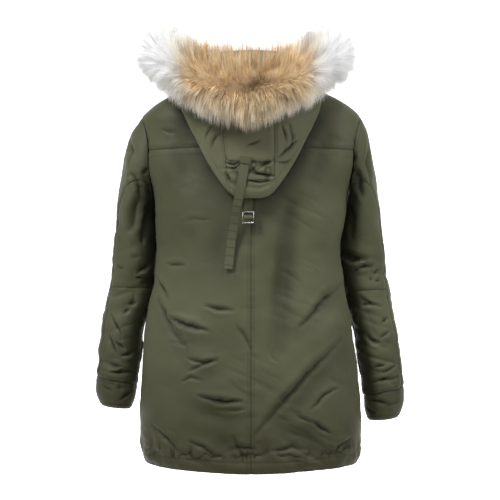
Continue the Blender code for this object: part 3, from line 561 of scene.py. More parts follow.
def grid_normals(points):
    return unit(np.cross(np.gradient(points, axis=1), np.gradient(points, axis=0)) + 1e-12)


def outward_normals(points, middle):
    normals = grid_normals(points)
    return normals if np.mean(np.sum(normals * (points - middle), axis=-1)) >= 0 else -normals


def even_angles(level, start, end, count):
    """Angles from start to end along a body section, closer together towards its seams."""
    trial = np.linspace(start, end, 161)
    points = body(trial, np.full_like(trial, level))
    length = lengths_along(points)
    return np.interp(gathered(count) * length[-1], length, trial)


def new_mesh(name, points, faces, *materials):
    mesh = bpy.data.meshes.new(name)
    mesh.from_pydata(np.reshape(points, (-1, 3)), [], faces)
    for material in materials:
        mesh.materials.append(material)
    return mesh


def paint(mesh, name, colours):
    """Gives every point its colour, which the materials read by that name."""
    values = np.ones((len(mesh.vertices), 4), np.float32)
    values[:, :3] = np.reshape(colours, (-1, colours.shape[-1]))
    mesh.color_attributes.new(name, "FLOAT_COLOR", "POINT").data.foreach_set("color", values.ravel())


def tube_faces(rows, columns):
    """The faces of a row of rings, with its two ends closed."""
    at = np.arange(rows * columns).reshape(rows, columns)
    after = np.roll(at, -1, axis=1)
    faces = np.stack([at[:-1], after[:-1], after[1:], at[1:]], -1).reshape(-1, 4).tolist()
    return faces + [at[0][::-1].tolist(), at[-1].tolist()]


def border(at):
    """The points around a grid's edge, in order."""
    return np.concatenate([at[0, :-1], at[:-1, -1], at[-1, :0:-1], at[:0:-1, 0]])


def wall(outer, normals, thickness):
    """A closed wall: the outer grid, an inner one with half as many rows and columns, and the edges between.
    Gives its points, its faces and which of the faces are the lining."""
    rows, columns = outer.shape[:2]
    inner = (outer - normals * thickness)[::2, ::2]
    in_rows, in_columns = inner.shape[:2]
    points = np.concatenate([outer.reshape(-1, 3), inner.reshape(-1, 3)])
    first = rows * columns
    out_at = np.arange(first).reshape(rows, columns)
    in_at = first + np.arange(in_rows * in_columns).reshape(in_rows, in_columns)
    skin = np.stack([out_at[:-1, :-1], out_at[:-1, 1:], out_at[1:, 1:], out_at[1:, :-1]], -1).reshape(-1, 4)
    lining = np.stack([in_at[:-1, :-1], in_at[1:, :-1], in_at[1:, 1:], in_at[:-1, 1:]], -1).reshape(-1, 4)
    border_out, border_in = border(out_at), border(in_at)
    faces = [list(face) for face in skin] + [list(face) for face in lining]
    count = len(border_in)
    for i in range(count):
        near, far = border_in[i], border_in[(i + 1) % count]
        a, b, c = border_out[2 * i], border_out[2 * i + 1], border_out[(2 * i + 2) % (2 * count)]
        faces += [[near, b, a], [near, far, b], [far, c, b]]
    return points, faces, slice(len(skin), len(skin) + len(lining))


def seam_shape(distance, depth=0.0014, roll=0.0008):
    """The cloth dips at a seam and rounds up beside it."""
    return -depth * bell(distance, 0.0028) + roll * bell(distance - 0.0085, 0.005)


def puckers(points, distance, reach, size, seed, amount):
    """Short wrinkles that run out from a seam."""
    wave = noise(points, size, seed) + 0.5 * noise(points, np.asarray(size) * 0.55, seed + 1)
    return amount * wave * bell(distance, reach)


def edge_distance(points, axis, last=False):
    """Distance of every grid point from the grid's first or last line, measured along the cloth."""
    step = np.linalg.norm(np.diff(points, axis=axis), axis=-1)
    if last:
        step = np.flip(step, axis)
    run = np.cumsum(step, axis=axis)
    start = np.zeros_like(np.take(run, [0], axis=axis))
    total = np.concatenate([start, run], axis=axis)
    return np.flip(total, axis) if last else total


def softness(points, amount):
    """The light padding: slow swells, and small crumples that gather towards the hem."""
    slow = noise(points, (0.085, 0.085, 0.060), 3) * 0.0021 + noise(points, (0.045, 0.045, 0.034), 4) * 0.0013
    lean = points @ np.array([[1, 0, 0.45], [0, 1, 0.0], [0.45, 0, 1]])
    crumple = (ridged(lean, (0.060, 0.060, 0.026), 5) - 0.6) * 0.0032
    fine = (ridged(lean, (0.030, 0.030, 0.013), 6) - 0.6) * 0.0014
    mask = smooth_step(noise(points, (0.10, 0.10, 0.07), 7) * 1.4 + 0.30)
    low = 0.55 + 0.9 * smooth_step((-points[..., 2] - 0.52) / 0.25)
    return amount * (slow + (crumple + fine) * mask * low)


class Relief:
    """How far cloth stands out from its smooth form, and how much shade is painted into its hollows, creases,
    seams and stitches.
    """

    def __init__(self, base, normals, amount):
        self.base = base
        self.normals = normals
        self.height = softness(base, amount)
        # Painted shade in the hollows of the crumples.
        hollow = smooth_step((-self.height / amount - 0.0022) / 0.0022)
        self.dark = 0.22 * hollow

    # Painted shade: darkens the cloth's colour where shade would fall.
    def paint_shade(self, dark):
        self.dark = np.maximum(self.dark, dark)

    def crease(self, line, depth, width, lean, where=1.0):
        height, dark = crease_height(self.base, self.normals, line, depth, width, lean)
        self.height += height * where
        # Painted shade in the crease's valley.
        self.paint_shade(CREASE_PAINTED_SHADE * dark * where)

    def stitches(self, distance, at, amount=1.0):
        row = bell(distance - at, STITCH_WIDTH)
        self.height -= 0.0007 * amount * row
        # Painted shade along the row of stitches.
        self.paint_shade(0.20 * amount * row)

    def seam(self, distance, size, seed, amount, where=1.0):
        """A seam with its row of topstitching, and the short wrinkles that run out from it."""
        self.height += seam_shape(distance) * where
        # Painted shade in the seam's groove.
        self.paint_shade(SEAM_PAINTED_SHADE * where * bell(distance, 0.0018))
        self.stitches(distance, 0.0065, amount=np.max(where))
        self.height += puckers(self.base, distance, 0.020, size, seed, 0.0009 * amount) * where

    def sew(self, seams, level, upright, reach, seed, where=1.0):
        """Seams on the named sides of the grid, each with its amount of wrinkles. reach is their
        length, and level and upright how far apart they are on the level and on the upright seams."""
        for side, amount in seams.items():
            is_level = side in ("top", "bottom")
            distance = edge_distance(self.base, 0 if is_level else 1, last=side in ("bottom", "end"))
            size = (level, level, reach) if is_level else (reach, reach, upright)
            self.seam(distance, size, seed + len(side), amount, where)

    def outer(self):
        return self.base + self.normals * self.height[..., None]


def gathered(count):
    """Shares from 0 to 1 that are closer together towards both ends, where the seams are."""
    t = np.linspace(0, 1, count)
    return t - 0.085 * np.sin(4 * math.pi * t) / 2 - 0.03 * np.sin(2 * math.pi * t)


def body_spots(line, front=False):
    """A crease's (x, z) points laid on the back of the body, or on its front."""
    spots = []
    for x, z in line:
        row = BODY.at(z)
        across = row.right if x >= 0 else row.left
        reach = row.front if front else -row.back
        spots.append((x, reach * (1 - min(abs(x / across), 0.999) ** row.square) ** (1 / row.square), z))
    return spots


def nearest_spots(shell, line):
    """The points of a grid that are nearest to a crease's (x, z) points as seen from behind."""
    away = [np.hypot(shell[..., 0] - x, shell[..., 2] - z) for x, z in line]
    return [shell[np.unravel_index(np.argmin(off), off.shape)] for off in away]


def laid(creases, spots, *where):
    return [(spots(line, *where), depth, width, lean) for line, depth, width, lean in creases]


def place(name, mesh, node, slot):
    obj = bpy.data.objects.new(name, mesh)
    bpy.context.scene.collection.objects.link(obj)
    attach(obj, "coat")
    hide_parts(node)
    return obj


def cloth_piece(name, relief, thickness, outside):
    """A panel's wall, with its painted shade, and more painted shade that makes it darker and browner towards
    the hem.
    """
    outer = relief.outer()
    points, faces, lining = wall(outer, relief.normals, thickness)
    mesh = new_mesh(name, points, faces, outside, LINING)
    index = np.zeros(len(faces), np.int32)
    index[lining] = 1
    mesh.polygons.foreach_set("material_index", index)
    # Painted shade, darker and browner towards the hem.
    low = smooth_step((-outer[..., 2] - 0.46) / 0.44)[..., None] * HEM_PAINTED_SHADE
    tone = np.ones((len(points), 3))
    tone[: relief.dark.size] = ((1 - np.clip(relief.dark, 0, 0.9))[..., None] * (1 - low)).reshape(-1, 3)
    paint(mesh, "tone", tone)
    mesh.shade_smooth()
    mesh.set_sharp_from_angle(angle=math.radians(62))
    mesh.update()
    place(name, mesh, name, "olive_cloth")


def broad_shade(angles, base):
    """Painted shade in the broad hollows, and painted shadow on the back under the hood's edge."""
    x, z = base[..., 0], base[..., 2]
    at_back = np.cos(np.radians(angles)) > 0
    deep = np.where(at_back, hollows("back", x, z), hollows("front", x, z))
    shade = 0.42 * np.clip(deep / 0.013, 0, 1)
    edge = hood(np.linspace(-62, 62, 63), np.full(63, FOLD_TO_EDGE))
    nearest = np.full(x.shape, 1.0)
    for spot in edge:
        nearest = np.minimum(nearest, np.hypot(x - spot[0], z - spot[2]))
    under = 0.50 * bell(nearest, 0.030) + 0.16 * bell(nearest, 0.075)
    return np.where(at_back, np.maximum(shade, under), shade)


def body_panel(name, levels, start_of, end_of, columns, flat, area, seams, creases):
    """One panel of the body. seams says which edges are sewn: top, bottom, start, end."""
    angles = np.array([even_angles(level, start_of(level), end_of(level), columns) for level in levels])
    base = body(angles, np.repeat(np.asarray(levels)[:, None], columns, axis=1))
    normals = outward_normals(base, base * np.array([0, 0, 1]))
    relief = Relief(base, normals, 1.0)
    for line, depth, width, lean in creases:
        relief.crease(line, depth * BODY_CREASE, width, lean)
    relief.sew(seams, 0.013, 0.014, 0.060, 11)
    # Painted shade in the broad hollows and painted shadow below the hood.
    relief.paint_shade(broad_shade(angles, base))
    hem = base[..., 2] - (BODY.at(HEM_LEVEL).dip_back * np.cos(np.radians(angles)) ** 2 + HEM_LEVEL)
    band = np.abs(hem - HEM_BAND)
    relief.stitches(band, 0, 2.4)
    ruck = ridged(base, (0.016, 0.016, 0.030), 22)
    near = bell(hem - HEM_BAND - 0.012, 0.016)
    relief.height += (ruck - 0.6) * 0.0045 * near
    # Painted shade in the rucks above the hem band.
    relief.paint_shade(0.75 * smooth_step((0.42 - ruck) / 0.25) * near)
    relief.height += 0.0016 * bell(hem - HEM_BAND / 2, 0.009)
    relief.height += puckers(base, band, 0.022, (0.020, 0.020, 0.045), 21, 0.0030)
    cloth_piece(name, relief, CLOTH, OLIVE)


def front_stop(level):
    """The angle of a front's edge beside the zip."""
    return 180.0 - math.degrees(math.atan(ZIP_HALF_GAP / float(BODY.at(level).front)))


def back_ends(side):
    return (lambda level: 0.0), (lambda level: side * armhole_angle(level))


def front_ends(side):
    return (lambda level: side * armhole_angle(level, True)), (lambda level: side * front_stop(level))


def build_body():
    back_lines = laid(BACK_CREASES, body_spots)
    front_lines = laid(FRONT_CREASES, body_spots, True)
    levels = NECK_LEVEL + (YOKE_LEVEL - NECK_LEVEL) * np.linspace(0, 1, 57) ** 1.25
    seams = {"bottom": 0.5, "start": 0.6, "end": 0.6}
    near = [line for line in back_lines if max(spot[2] for spot in line[0]) > -0.20]
    left, right = back_ends(-1)[1], back_ends(1)[1]
    body_panel("back_yoke", levels, left, right, 167, (0.50, 0.24), 0.092, seams, near)
    levels = YOKE_LEVEL + (HEM_LEVEL - YOKE_LEVEL) * np.linspace(0, 1, 219)
    for name, side in (("left", -1), ("right", 1)):
        mine = [line for line in back_lines if max(side * line[0][0][0], side * line[0][-1][0]) > -0.05]
        seams = {"top": 0.5, "start": 1.0, "end": 0.7}
        body_panel(f"back_{name}", levels, *back_ends(side), 95, (0.29, 0.70), 0.195, seams, mine)
    high = NECK_LEVEL + (ARMHOLE_BOTTOM - NECK_LEVEL) * np.linspace(0, 1, 64) ** 1.15
    levels = np.concatenate([high, np.linspace(ARMHOLE_BOTTOM, HEM_LEVEL, 146)[1:]])
    for name, side in (("left", -1), ("right", 1)):
        mine = [line for line in front_lines if side * line[0][0][0] > -0.05]
        seams = {"start": 0.7, "end": 0.8}
        body_panel(f"front_{name}", levels, *front_ends(side), 73, (0.30, 0.86), 0.225, seams, mine)


# Creases on the backs of the sleeves and cuffs.
SLEEVE_CREASES = {
    "left": crease_rows(
        (10, 12, 0.2, (-238, -228), (-253, -272), (-264, -316)),
        (7, 10, -0.3, (-262, -194), (-250, -212), (-238, -235)),
        (6, 10, -0.2, (-222, -236), (-228, -290), (-238, -340)),
        (4, 5, 0.5, (-238, -192), (-216, -182)),
        (3, 10, 0.3, (-268, -110), (-262, -145), (-268, -180)),
        (2.6, 4, 0.5, (-297, -391), (-281, -398)),
        (2, 5, -0.3, (-267, -377), (-246, -375)),
        (6, 6.5, -0.7, (-251, -413), (-237, -403), (-222, -392)),
        (4, 4.5, -0.5, (-254, -423), (-235, -416)),
        (3.6, 4.5, -0.6, (-268, -481), (-250, -474)),
        (3, 4.5, -0.4, (-285, -498), (-268, -493)),
        (3.6, 4.5, 0.7, (-311, -506), (-297, -524), (-284, -548)),
        (3, 4.5, 0.6, (-316, -546), (-306, -568), (-297, -589)),
        (4, 4.2, 0.7, (-298, -563), (-277, -577)),
        (4.2, 4.2, -0.6, (-285, -595), (-270, -592), (-255, -584)),
        (3.4, 4.2, 0.6, (-313, -612), (-287, -619)),
        (5, 4.6, 0.5, (-309, -632), (-288, -631), (-264, -629)),
    ),
    "right": crease_rows(
        (8, 9.5, -0.3, (214, -184), (232, -204), (238, -242)),
        (4, 5.5, 0.4, (206, -168), (224, -152)),
        (5, 9, 0.2, (219, -240), (224, -285), (220, -335)),
        (3, 11, 0.3, (258, -130), (254, -170), (262, -215)),
        (11, 9, -0.5, (204, -372), (222, -382), (251, -386)),
        (5, 5.5, -0.6, (228, -403), (249, -399), (270, -392)),
        (3.6, 4, 0.5, (271, -413), (283, -401)),
        (2.6, 3.6, -0.4, (262, -425), (272, -422)),
        (3, 3.6, -0.4, (276, -433), (287, -428)),
        (4.6, 4.2, -0.6, (245, -487), (266, -477)),
        (4, 4.2, 0.6, (236, -458), (265, -478), (288, -483)),
        (3.4, 4.2, -0.5, (290, -519), (303, -512)),
        (3.8, 4.2, -0.5, (288, -555), (307, -543)),
        (4, 4.5, 0.6, (252, -547), (269, -560), (287, -567)),
        (3.6, 4.2, -0.5, (275, -619), (293, -616)),
        (4.2, 4.2, 0.6, (292, -632), (318, -618)),
        (4.6, 4.5, 0.5, (266, -651), (295, -646), (323, -641)),
    ),
}
CUFF_CREASES = {
    "left": crease_rows(
        (3, 4, 0.5, (-297, -663), (-278, -667)),
        (4, 4.5, -0.5, (-291, -696), (-277, -680), (-266, -673)),
        (3, 4.5, 0.5, (-325, -662), (-309, -672)),
    ),
    "right": crease_rows(
        (4.6, 4.5, 0.6, (267, -691), (288, -697), (309, -699)),
        (4, 4.2, -0.5, (301, -708), (327, -697)),
        (3, 4.2, 0.5, (262, -712), (278, -722)),
    ),
}


def sleeve_shell(side, table, front=False):
    """A close grid over the back of a sleeve, or over its front."""
    rows, angles = np.meshgrid(np.linspace(0, LAST_ROW, 141), np.linspace(2, 178, 89), indexing="ij")
    return sleeve(side, table)(360 - angles if front else angles, rows)


def sleeve_panel(name, side, table, rows, start_of, end_of, columns, flat, area, seams, creases):
    surface = sleeve(side, table)
    share = gathered(columns)
    angles = np.array([start_of(row) + (end_of(row) - start_of(row)) * share for row in rows])
    grid = np.repeat(np.asarray(rows, float)[:, None], columns, axis=1)
    base = surface(angles, grid)
    down = np.asarray(rows)[:, None]
    middle = (surface(np.zeros(1), down) + surface(np.full(1, 180.0), down)) / 2
    normals = outward_normals(base, middle)
    relief = Relief(base, normals, 1.25)
    squeeze = smooth_step((grid - 3.5) / 3) * (0.55 + 0.45 * np.cos((grid - ELBOW_ROW) * 0.8) ** 2)
    ring = np.asarray(base) * np.array([0.35, 0.35, 1.0])
    ring[..., 2] += 0.30 * side * base[..., 0]
    relief.height += (ridged(ring, (0.020, 0.020, 0.024), 31 + side) - 0.62) * 0.0050 * squeeze
    # Painted shade on the sleeve's side beside the body, and darker still on the upper arm there.
    beside = smooth_step((-np.cos(np.radians(angles)) - 0.25) / 0.5)
    reach = smooth_step((grid - 0.8) / 1.5) * (1 - 0.6 * smooth_step((grid - 8) / 4))
    relief.paint_shade(0.62 * beside * reach)
    upper = bell(grid - 3.6, 2.0) * smooth_step((-np.cos(np.radians(angles)) + 0.05) / 0.55)
    relief.paint_shade(0.80 * upper)
    for line, depth, width, lean in creases:
        relief.crease(line, depth * SLEEVE_CREASE, width, lean)
    relief.sew(seams, 0.014, 0.015, 0.060, 41)
    cloth_piece(name, relief, CLOTH, OLIVE)


# Each sleeve panel's rows, the number of its rows and columns, its flat size and its cloth, in metres.
SLEEVE_PANELS = {
    "top_sleeve": (0, CUFF_ROW, 171, 83, (0.32, 0.62), 0.132),
    "under_sleeve_upper": (0, ELBOW_ROW, 101, 45, (0.20, 0.32), 0.040),
    "under_sleeve_lower": (ELBOW_ROW, CUFF_ROW, 75, 45, (0.15, 0.23), 0.027),
}


def build_sleeve(name, side, table):
    """A top sleeve, an under sleeve in two, and a cuff. The hidden front has fewer, weaker creases."""
    back, front = sleeve_shell(side, table), sleeve_shell(side, table, True)
    creases = [(nearest_spots(back, line), *rest) for line, *rest in SLEEVE_CREASES[name]]
    for line, depth, width, lean in SLEEVE_CREASES[name][1::2]:
        lower = [(x, z - 0.018) for x, z in line]
        creases.append((nearest_spots(front, lower), depth * 0.8, width * 1.1, -lean))

    def back_seam(row):
        return float(table.at(row).back_seam)

    def front_seam(row):
        return float(table.at(row).front_seam)

    def front_seam_behind(row):
        return front_seam(row) - 360

    for node, (first, last, rows, columns, flat, area) in SLEEVE_PANELS.items():
        top = node == "top_sleeve"
        levels = first + (last - first) * np.linspace(0, 1, rows) ** (1.06 if top else 1.0)
        seams = {"top": 0.8, "bottom": 0.8, "start": 1.0, "end": 1.0 if top else 0.6}
        if last == CUFF_ROW:
            seams["bottom"] = 1.3
        ends = (front_seam_behind, back_seam) if top else (back_seam, front_seam)
        sleeve_panel(f"{node}_{name}", side, table, levels, *ends, columns, flat, area, seams, creases)
    build_cuff(name, side, table, back)


def build_cuff(name, side, table, shell):
    """A closed band with its edge turned in."""
    surface = sleeve(side, table)
    rows, angles = np.linspace(CUFF_ROW + 0.01, LAST_ROW, 25), np.linspace(0, 360, 97)
    grid, angle = np.meshgrid(rows, angles, indexing="ij")
    base = surface(angle, grid)
    centre = base.mean(axis=1, keepdims=True)
    normals = grid_normals(np.concatenate([base[:, -3:-1], base, base[:, 1:3]], axis=1))[:, 2:-2]
    if np.mean(np.sum(normals * (base - centre), axis=-1)) < 0:
        normals = -normals
    top, low = edge_distance(base, 0), edge_distance(base, 0, last=True)
    relief = Relief(base, normals, 0.7)
    relief.seam(top, (0.011, 0.011, 0.060), 51, 1.8)
    relief.stitches(low, 0.010, 1.4)
    relief.height += 0.0018 * bell(top - 0.030, 0.016) - 0.0030 * bell(low, 0.0045)
    for line, depth, width, lean in CUFF_CREASES[name]:
        relief.crease(nearest_spots(shell, line), depth, width, lean)
    relief.height[:, -1] = relief.height[:, 0]
    cloth_piece(f"cuff_{name}", relief, CLOTH, OLIVE)


def build_collar():
    edge = 180.0 - math.degrees(math.atan(ZIP_HALF_GAP / 0.078))
    heights, angles = np.linspace(0, COLLAR_HEIGHT, 17), np.linspace(-edge, edge, 141)
    height, angle = np.meshgrid(heights, angles, indexing="ij")
    base = collar(angle, height)
    normals = outward_normals(base, base * np.array([0, 0, 1]))
    top = edge_distance(base, 0, last=True)
    relief = Relief(base, normals, 0.8)
    relief.seam(edge_distance(base, 0), (0.013, 0.013, 0.060), 61, 0.6)
    relief.stitches(top, 0.007, 1.2)
    relief.height -= 0.0012 * bell(top, 0.003)
    cloth_piece("collar", relief, CLOTH, OLIVE)


# Creases on the part of the hood that faces back.
HOOD_CREASES = crease_rows(
    (2.6, 3.4, 0.6, (-10, -142), (6, -136), (17, -129)),
    (4, 3.6, 0.7, (-52, -176), (-36, -181), (-22, -178)),
    (3.4, 3.4, -0.5, (-20, -181), (-34, -188), (-48, -190)),
    (5, 4.4, 0.6, (0, -186), (12, -197), (34, -206), (50, -208)),
    (4.4, 3.6, -0.7, (18, -190), (34, -180), (44, -176)),
    (4.4, 4.4, 0.5, (-52, -200), (-44, -218), (-34, -228)),
    (4, 3.6, 0.7, (-4, -214), (18, -219), (40, -216)),
    (3.4, 3.4, -0.5, (-4, -231), (14, -234), (36, -224)),
    (2.6, 3.4, 0.5, (-80, -98), (-92, -118), (-96, -126)),
    (2.4, 4, -0.5, (-66, -112), (-78, -130), (-84, -146)),
    (2.4, 3.4, 0.5, (64, -98), (70, -118), (72, -134)),
    (2.4, 4, 0.5, (80, -96), (88, -118), (84, -142)),
    (3, 6, -0.5, (56, -166), (78, -148), (100, -128)),
    (2.2, 3, 0.5, (50, -176), (74, -176), (98, -170)),
)


def hood_panel(name, angles, ways, seams, creases):
    way, angle = np.meshgrid(ways, angles, indexing="ij")
    base = hood(angle, way)
    normals = grid_normals(base) * np.sign(angles[-1] - angles[0])
    behind = smooth_step((way - 0.50) / 0.06)
    relief = Relief(base, normals, 0.75)
    relief.height *= behind
    low = smooth_step((-base[..., 2] - 0.160) / 0.02)
    ruck = ridged(base, (0.018, 0.018, 0.013), 61)
    relief.height += (ruck - 0.6) * 0.0040 * behind * low
    # Painted shade in the gathers low in the middle of the hood.
    middle = np.exp(-((base[..., 0] / 0.050) ** 4)) * behind * low
    relief.paint_shade((0.20 + 0.45 * smooth_step((0.50 - ruck) / 0.3)) * middle)
    for line, depth, width, lean in creases:
        relief.crease(line, depth * HOOD_CREASE, width, lean, behind)
    relief.sew(seams, 0.010, 0.010, 0.040, 71, behind)
    if name in ("hood_left", "hood_right"):
        relief.stitches(0.5 * (way - FOLD_TO_EDGE), 0.006, 1.2)
    cloth_piece(name, relief, HOOD_CLOTH, OLIVE_THIN_PAINTED_LIGHT)


def build_hood():
    angles, ways = np.linspace(-80, 80, 161), np.linspace(FOLD_TO_EDGE - 0.02, 1.0, 81)
    shell = hood(*np.meshgrid(angles, ways, indexing="ij"))
    creases = [(nearest_spots(shell, line), *rest) for line, *rest in HOOD_CREASES]
    down = np.linspace(0, NECK_TO_FOLD, 41)
    turn = np.linspace(NECK_TO_FOLD, FOLD_TO_EDGE, 21)[1:]
    across = np.linspace(-HOOD_PANEL_SEAM, HOOD_PANEL_SEAM, 49)
    low_up = np.linspace(FOLD_TO_EDGE, HOOD_CROSS_SEAM, 25)[1:]
    ways = np.concatenate([down, turn, low_up])
    seams = {"bottom": 2.2, "start": 1.2, "end": 1.2}
    hood_panel("hood_middle_lower", across, ways, seams, creases)
    ways = np.linspace(HOOD_CROSS_SEAM, 1.0, 55)
    seams = {"top": 0.8, "start": 0.7, "end": 0.7}
    hood_panel("hood_middle_upper", across, ways, seams, creases)
    ways = np.concatenate([down[::2], turn[::2][:-1], np.linspace(turn[-1], 1.0, 81)])
    angles = np.concatenate([np.linspace(HOOD_PANEL_SEAM, 90, 89), np.linspace(90, HOOD_END, 41)[1:]])
    for name, side in (("left", -1), ("right", 1)):
        hood_panel(f"hood_{name}", angles * side, ways, {"start": 0.9}, creases)


# Straps and hard pieces.
STRAP_WIDTH = 0.020
STRAP_THICKNESS = 0.002
STRAP_LINE = [
    (-0.0105, -0.1903, -0.166),
    (-0.0145, -0.1882, -0.190),
    (-0.0190, -0.1852, -0.215),
    (-0.0235, -0.1800, -0.240),
    (-0.0280, -0.1722, -0.262),
    (-0.0325, -0.1600, -0.285),
    (-0.0370, -0.1505, -0.310),
    (-0.0415, -0.1435, -0.340),
    (-0.0450, -0.1402, -0.370),
    (-0.0485, -0.1392, -0.400),
]
# Where rows of stitching cross the long strap, down its length.
STRAP_BARS = (0.091, 0.107, 0.123, 0.128, 0.146, 0.163, 0.181, 0.199, 0.217, 0.237)
TAB_HEIGHT = 0.013
SHORT_STRAP_WIDTH = 0.019
SHORT_STRAP_TOP = -0.2500
BUCKLE_AT = (-0.0060, -0.1560, -0.291)
BUCKLE_SIZE = 0.026
BUCKLE_BAR = 0.0034
BUCKLE_THICKNESS = 0.003
RIB_LENGTH = 0.0016
TAB_LIFT = 0.0006
TAPE_WIDTH = 0.010
TAPE_THICKNESS = 0.001
TOOTH = np.array([0.0044, 0.0019, 0.0010])
TOOTH_PITCH = 0.00125


def smooth_line(points, count):
    """Evenly spaced points on a curve through the given ones."""
    points = np.asarray(points, float)
    run = lengths_along(points)
    table = Table("s x y z", [(s, *point) for s, point in zip(run, points)])
    at = table.at(np.linspace(0, run[-1], count))
    return np.stack([at.x, at.y, at.z], axis=-1)


def lengths_along(line):
    return np.concatenate([[0], np.cumsum(np.linalg.norm(np.diff(line, axis=0), axis=1))])


def strap_profile(width, thickness):
    """How far across and how far out each point around a strap is: flat, with rounded edges."""
    turns = np.linspace(0, 2 * math.pi, 25)[:-1]
    side = np.sign(np.cos(turns)) * np.abs(np.cos(turns)) ** 0.35
    face = np.sign(np.sin(turns)) * np.abs(np.sin(turns)) ** 0.6
    return side * width / 2, face * thickness / 2


def strap(name, line, width, thickness, material, ribs=0.0, bars=()):
    """A woven strap along a line that faces the back of the coat."""
    run = unit(np.gradient(line, axis=0))
    across = unit(np.cross(run, np.array([0.0, 1.0, 0.0])))
    out = unit(np.cross(across, run))
    out = np.where(out[:, 1:2] > 0, -out, out)
    return band(name, line, across, out, strap_profile(width, thickness), material, ribs, bars)


def band(name, line, across, out, profile, material, ribs=0.0, bars=()):
    """A band of that profile along a line, ribbed by its weave, with painted shade along its edges and along
    rows of stitches at the bars.
    """
    side, face = profile
    length = lengths_along(line)
    bump = 1 + ribs * np.sin(length / RIB_LENGTH * 2 * math.pi)
    lift = (face[None, :] * bump[:, None])[..., None]
    rings = line[:, None] + across[:, None] * side[None, :, None] + out[:, None] * lift
    mesh = new_mesh(name, rings, tube_faces(*rings.shape[:2]), material)
    # Painted shade along the edges and across the rows of stitches.
    dark = np.repeat(0.34 * (np.abs(side) > 0.90 * np.abs(side).max())[None, :], len(line), axis=0)
    for stop in bars:
        dark = np.maximum(dark, 0.40 * bell(length - stop, STITCH_WIDTH)[:, None])
    paint(mesh, "tone", (1 - dark)[..., None])
    mesh.shade_smooth()
    mesh.set_sharp_from_angle(angle=math.radians(50))
    return mesh


def build_long_strap():
    """The hood's strap, which hangs free, and the tab that is sewn over its top."""
    line = smooth_line(STRAP_LINE, 190)
    mesh = strap("strap_long", line, STRAP_WIDTH, STRAP_THICKNESS, WEBBING, 0.10, STRAP_BARS)
    place("strap_long", mesh, "strap_long", "olive_webbing")
    run = unit(line[1] - line[0])
    top = line[0] - np.array([0.0, STRAP_THICKNESS + TAB_LIFT, 0.0])
    tab_line = smooth_line([top - run * 0.001, top + run * 0.006, top + run * TAB_HEIGHT], 12)
    mesh = strap("strap_tab", tab_line, STRAP_WIDTH + 0.004, 0.0016, OLIVE)
    place("strap_tab", mesh, "strap_tab", "olive_cloth")


def build_short_strap():
    """It hangs from under the hood and turns over the buckle's middle bar."""
    x, y, z = BUCKLE_AT
    half = BUCKLE_SIZE / 2
    loop = math.hypot(BUCKLE_THICKNESS, BUCKLE_BAR) / 2 + 0.0003 + STRAP_THICKNESS / 2
    heights = (SHORT_STRAP_TOP, z + half + 0.012, z + half + 0.003, z)
    behind = (0.002, 0.001, 0.0, 0.0)
    hanging = smooth_line([(x, y + loop + more, height) for more, height in zip(behind, heights)], 40)
    swing = np.radians(np.arange(-6, -271, -6))
    turned = np.stack([0 * swing, np.cos(swing), np.sin(swing)], axis=-1)
    path = np.concatenate([hanging, np.array(BUCKLE_AT) + turned * loop])
    outs = np.concatenate([np.tile([0.0, -1.0, 0.0], (len(hanging), 1)), -turned])
    across = np.tile([1.0, 0.0, 0.0], (len(path), 1))
    profile = strap_profile(SHORT_STRAP_WIDTH, STRAP_THICKNESS)
    mesh = band("strap_short", path, across, outs, profile, WEBBING, 0.08)
    place("strap_short", mesh, "strap_short", "olive_webbing")


BOX_CORNERS = np.array([(i, j, k) for i in (-0.5, 0.5) for j in (-0.5, 0.5) for k in (-0.5, 0.5)])
BOX_FACES = np.array([(0, 1, 3, 2), (4, 6, 7, 5), (0, 4, 5, 1), (2, 3, 7, 6), (0, 2, 6, 4), (1, 5, 7, 3)])


def metal_boxes(name, corners):
    """A mesh of boxes, each given by its eight corners."""
    starts = 8 * np.arange(len(corners))[:, None, None]
    return new_mesh(name, corners, (starts + BOX_FACES).reshape(-1, 4).tolist(), METAL)


def build_buckle():
    """A cast square frame with a middle bar, its edges rounded."""
    edge, bar, deep = (BUCKLE_SIZE - BUCKLE_BAR) / 2, BUCKLE_BAR, BUCKLE_THICKNESS
    bars = [
        # middle, size
        ((0, 0, edge), (BUCKLE_SIZE, deep, bar)),
        ((0, 0, -edge), (BUCKLE_SIZE, deep, bar)),
        ((0, 0, 0), (2 * edge, deep * 0.9, bar * 0.9)),
        ((edge, 0, 0), (bar, deep * 0.98, 2 * edge)),
        ((-edge, 0, 0), (bar, deep * 0.98, 2 * edge)),
    ]
    corners = [np.array(BUCKLE_AT) + middle + BOX_CORNERS * size for middle, size in bars]
    mesh = metal_boxes("buckle", corners)
    rounding = place("buckle", mesh, "buckle", "zinc_metal").modifiers.new("rounding", "BEVEL")
    rounding.width = 0.0014
    rounding.segments = 4
    mesh.shade_smooth()


# Fur.


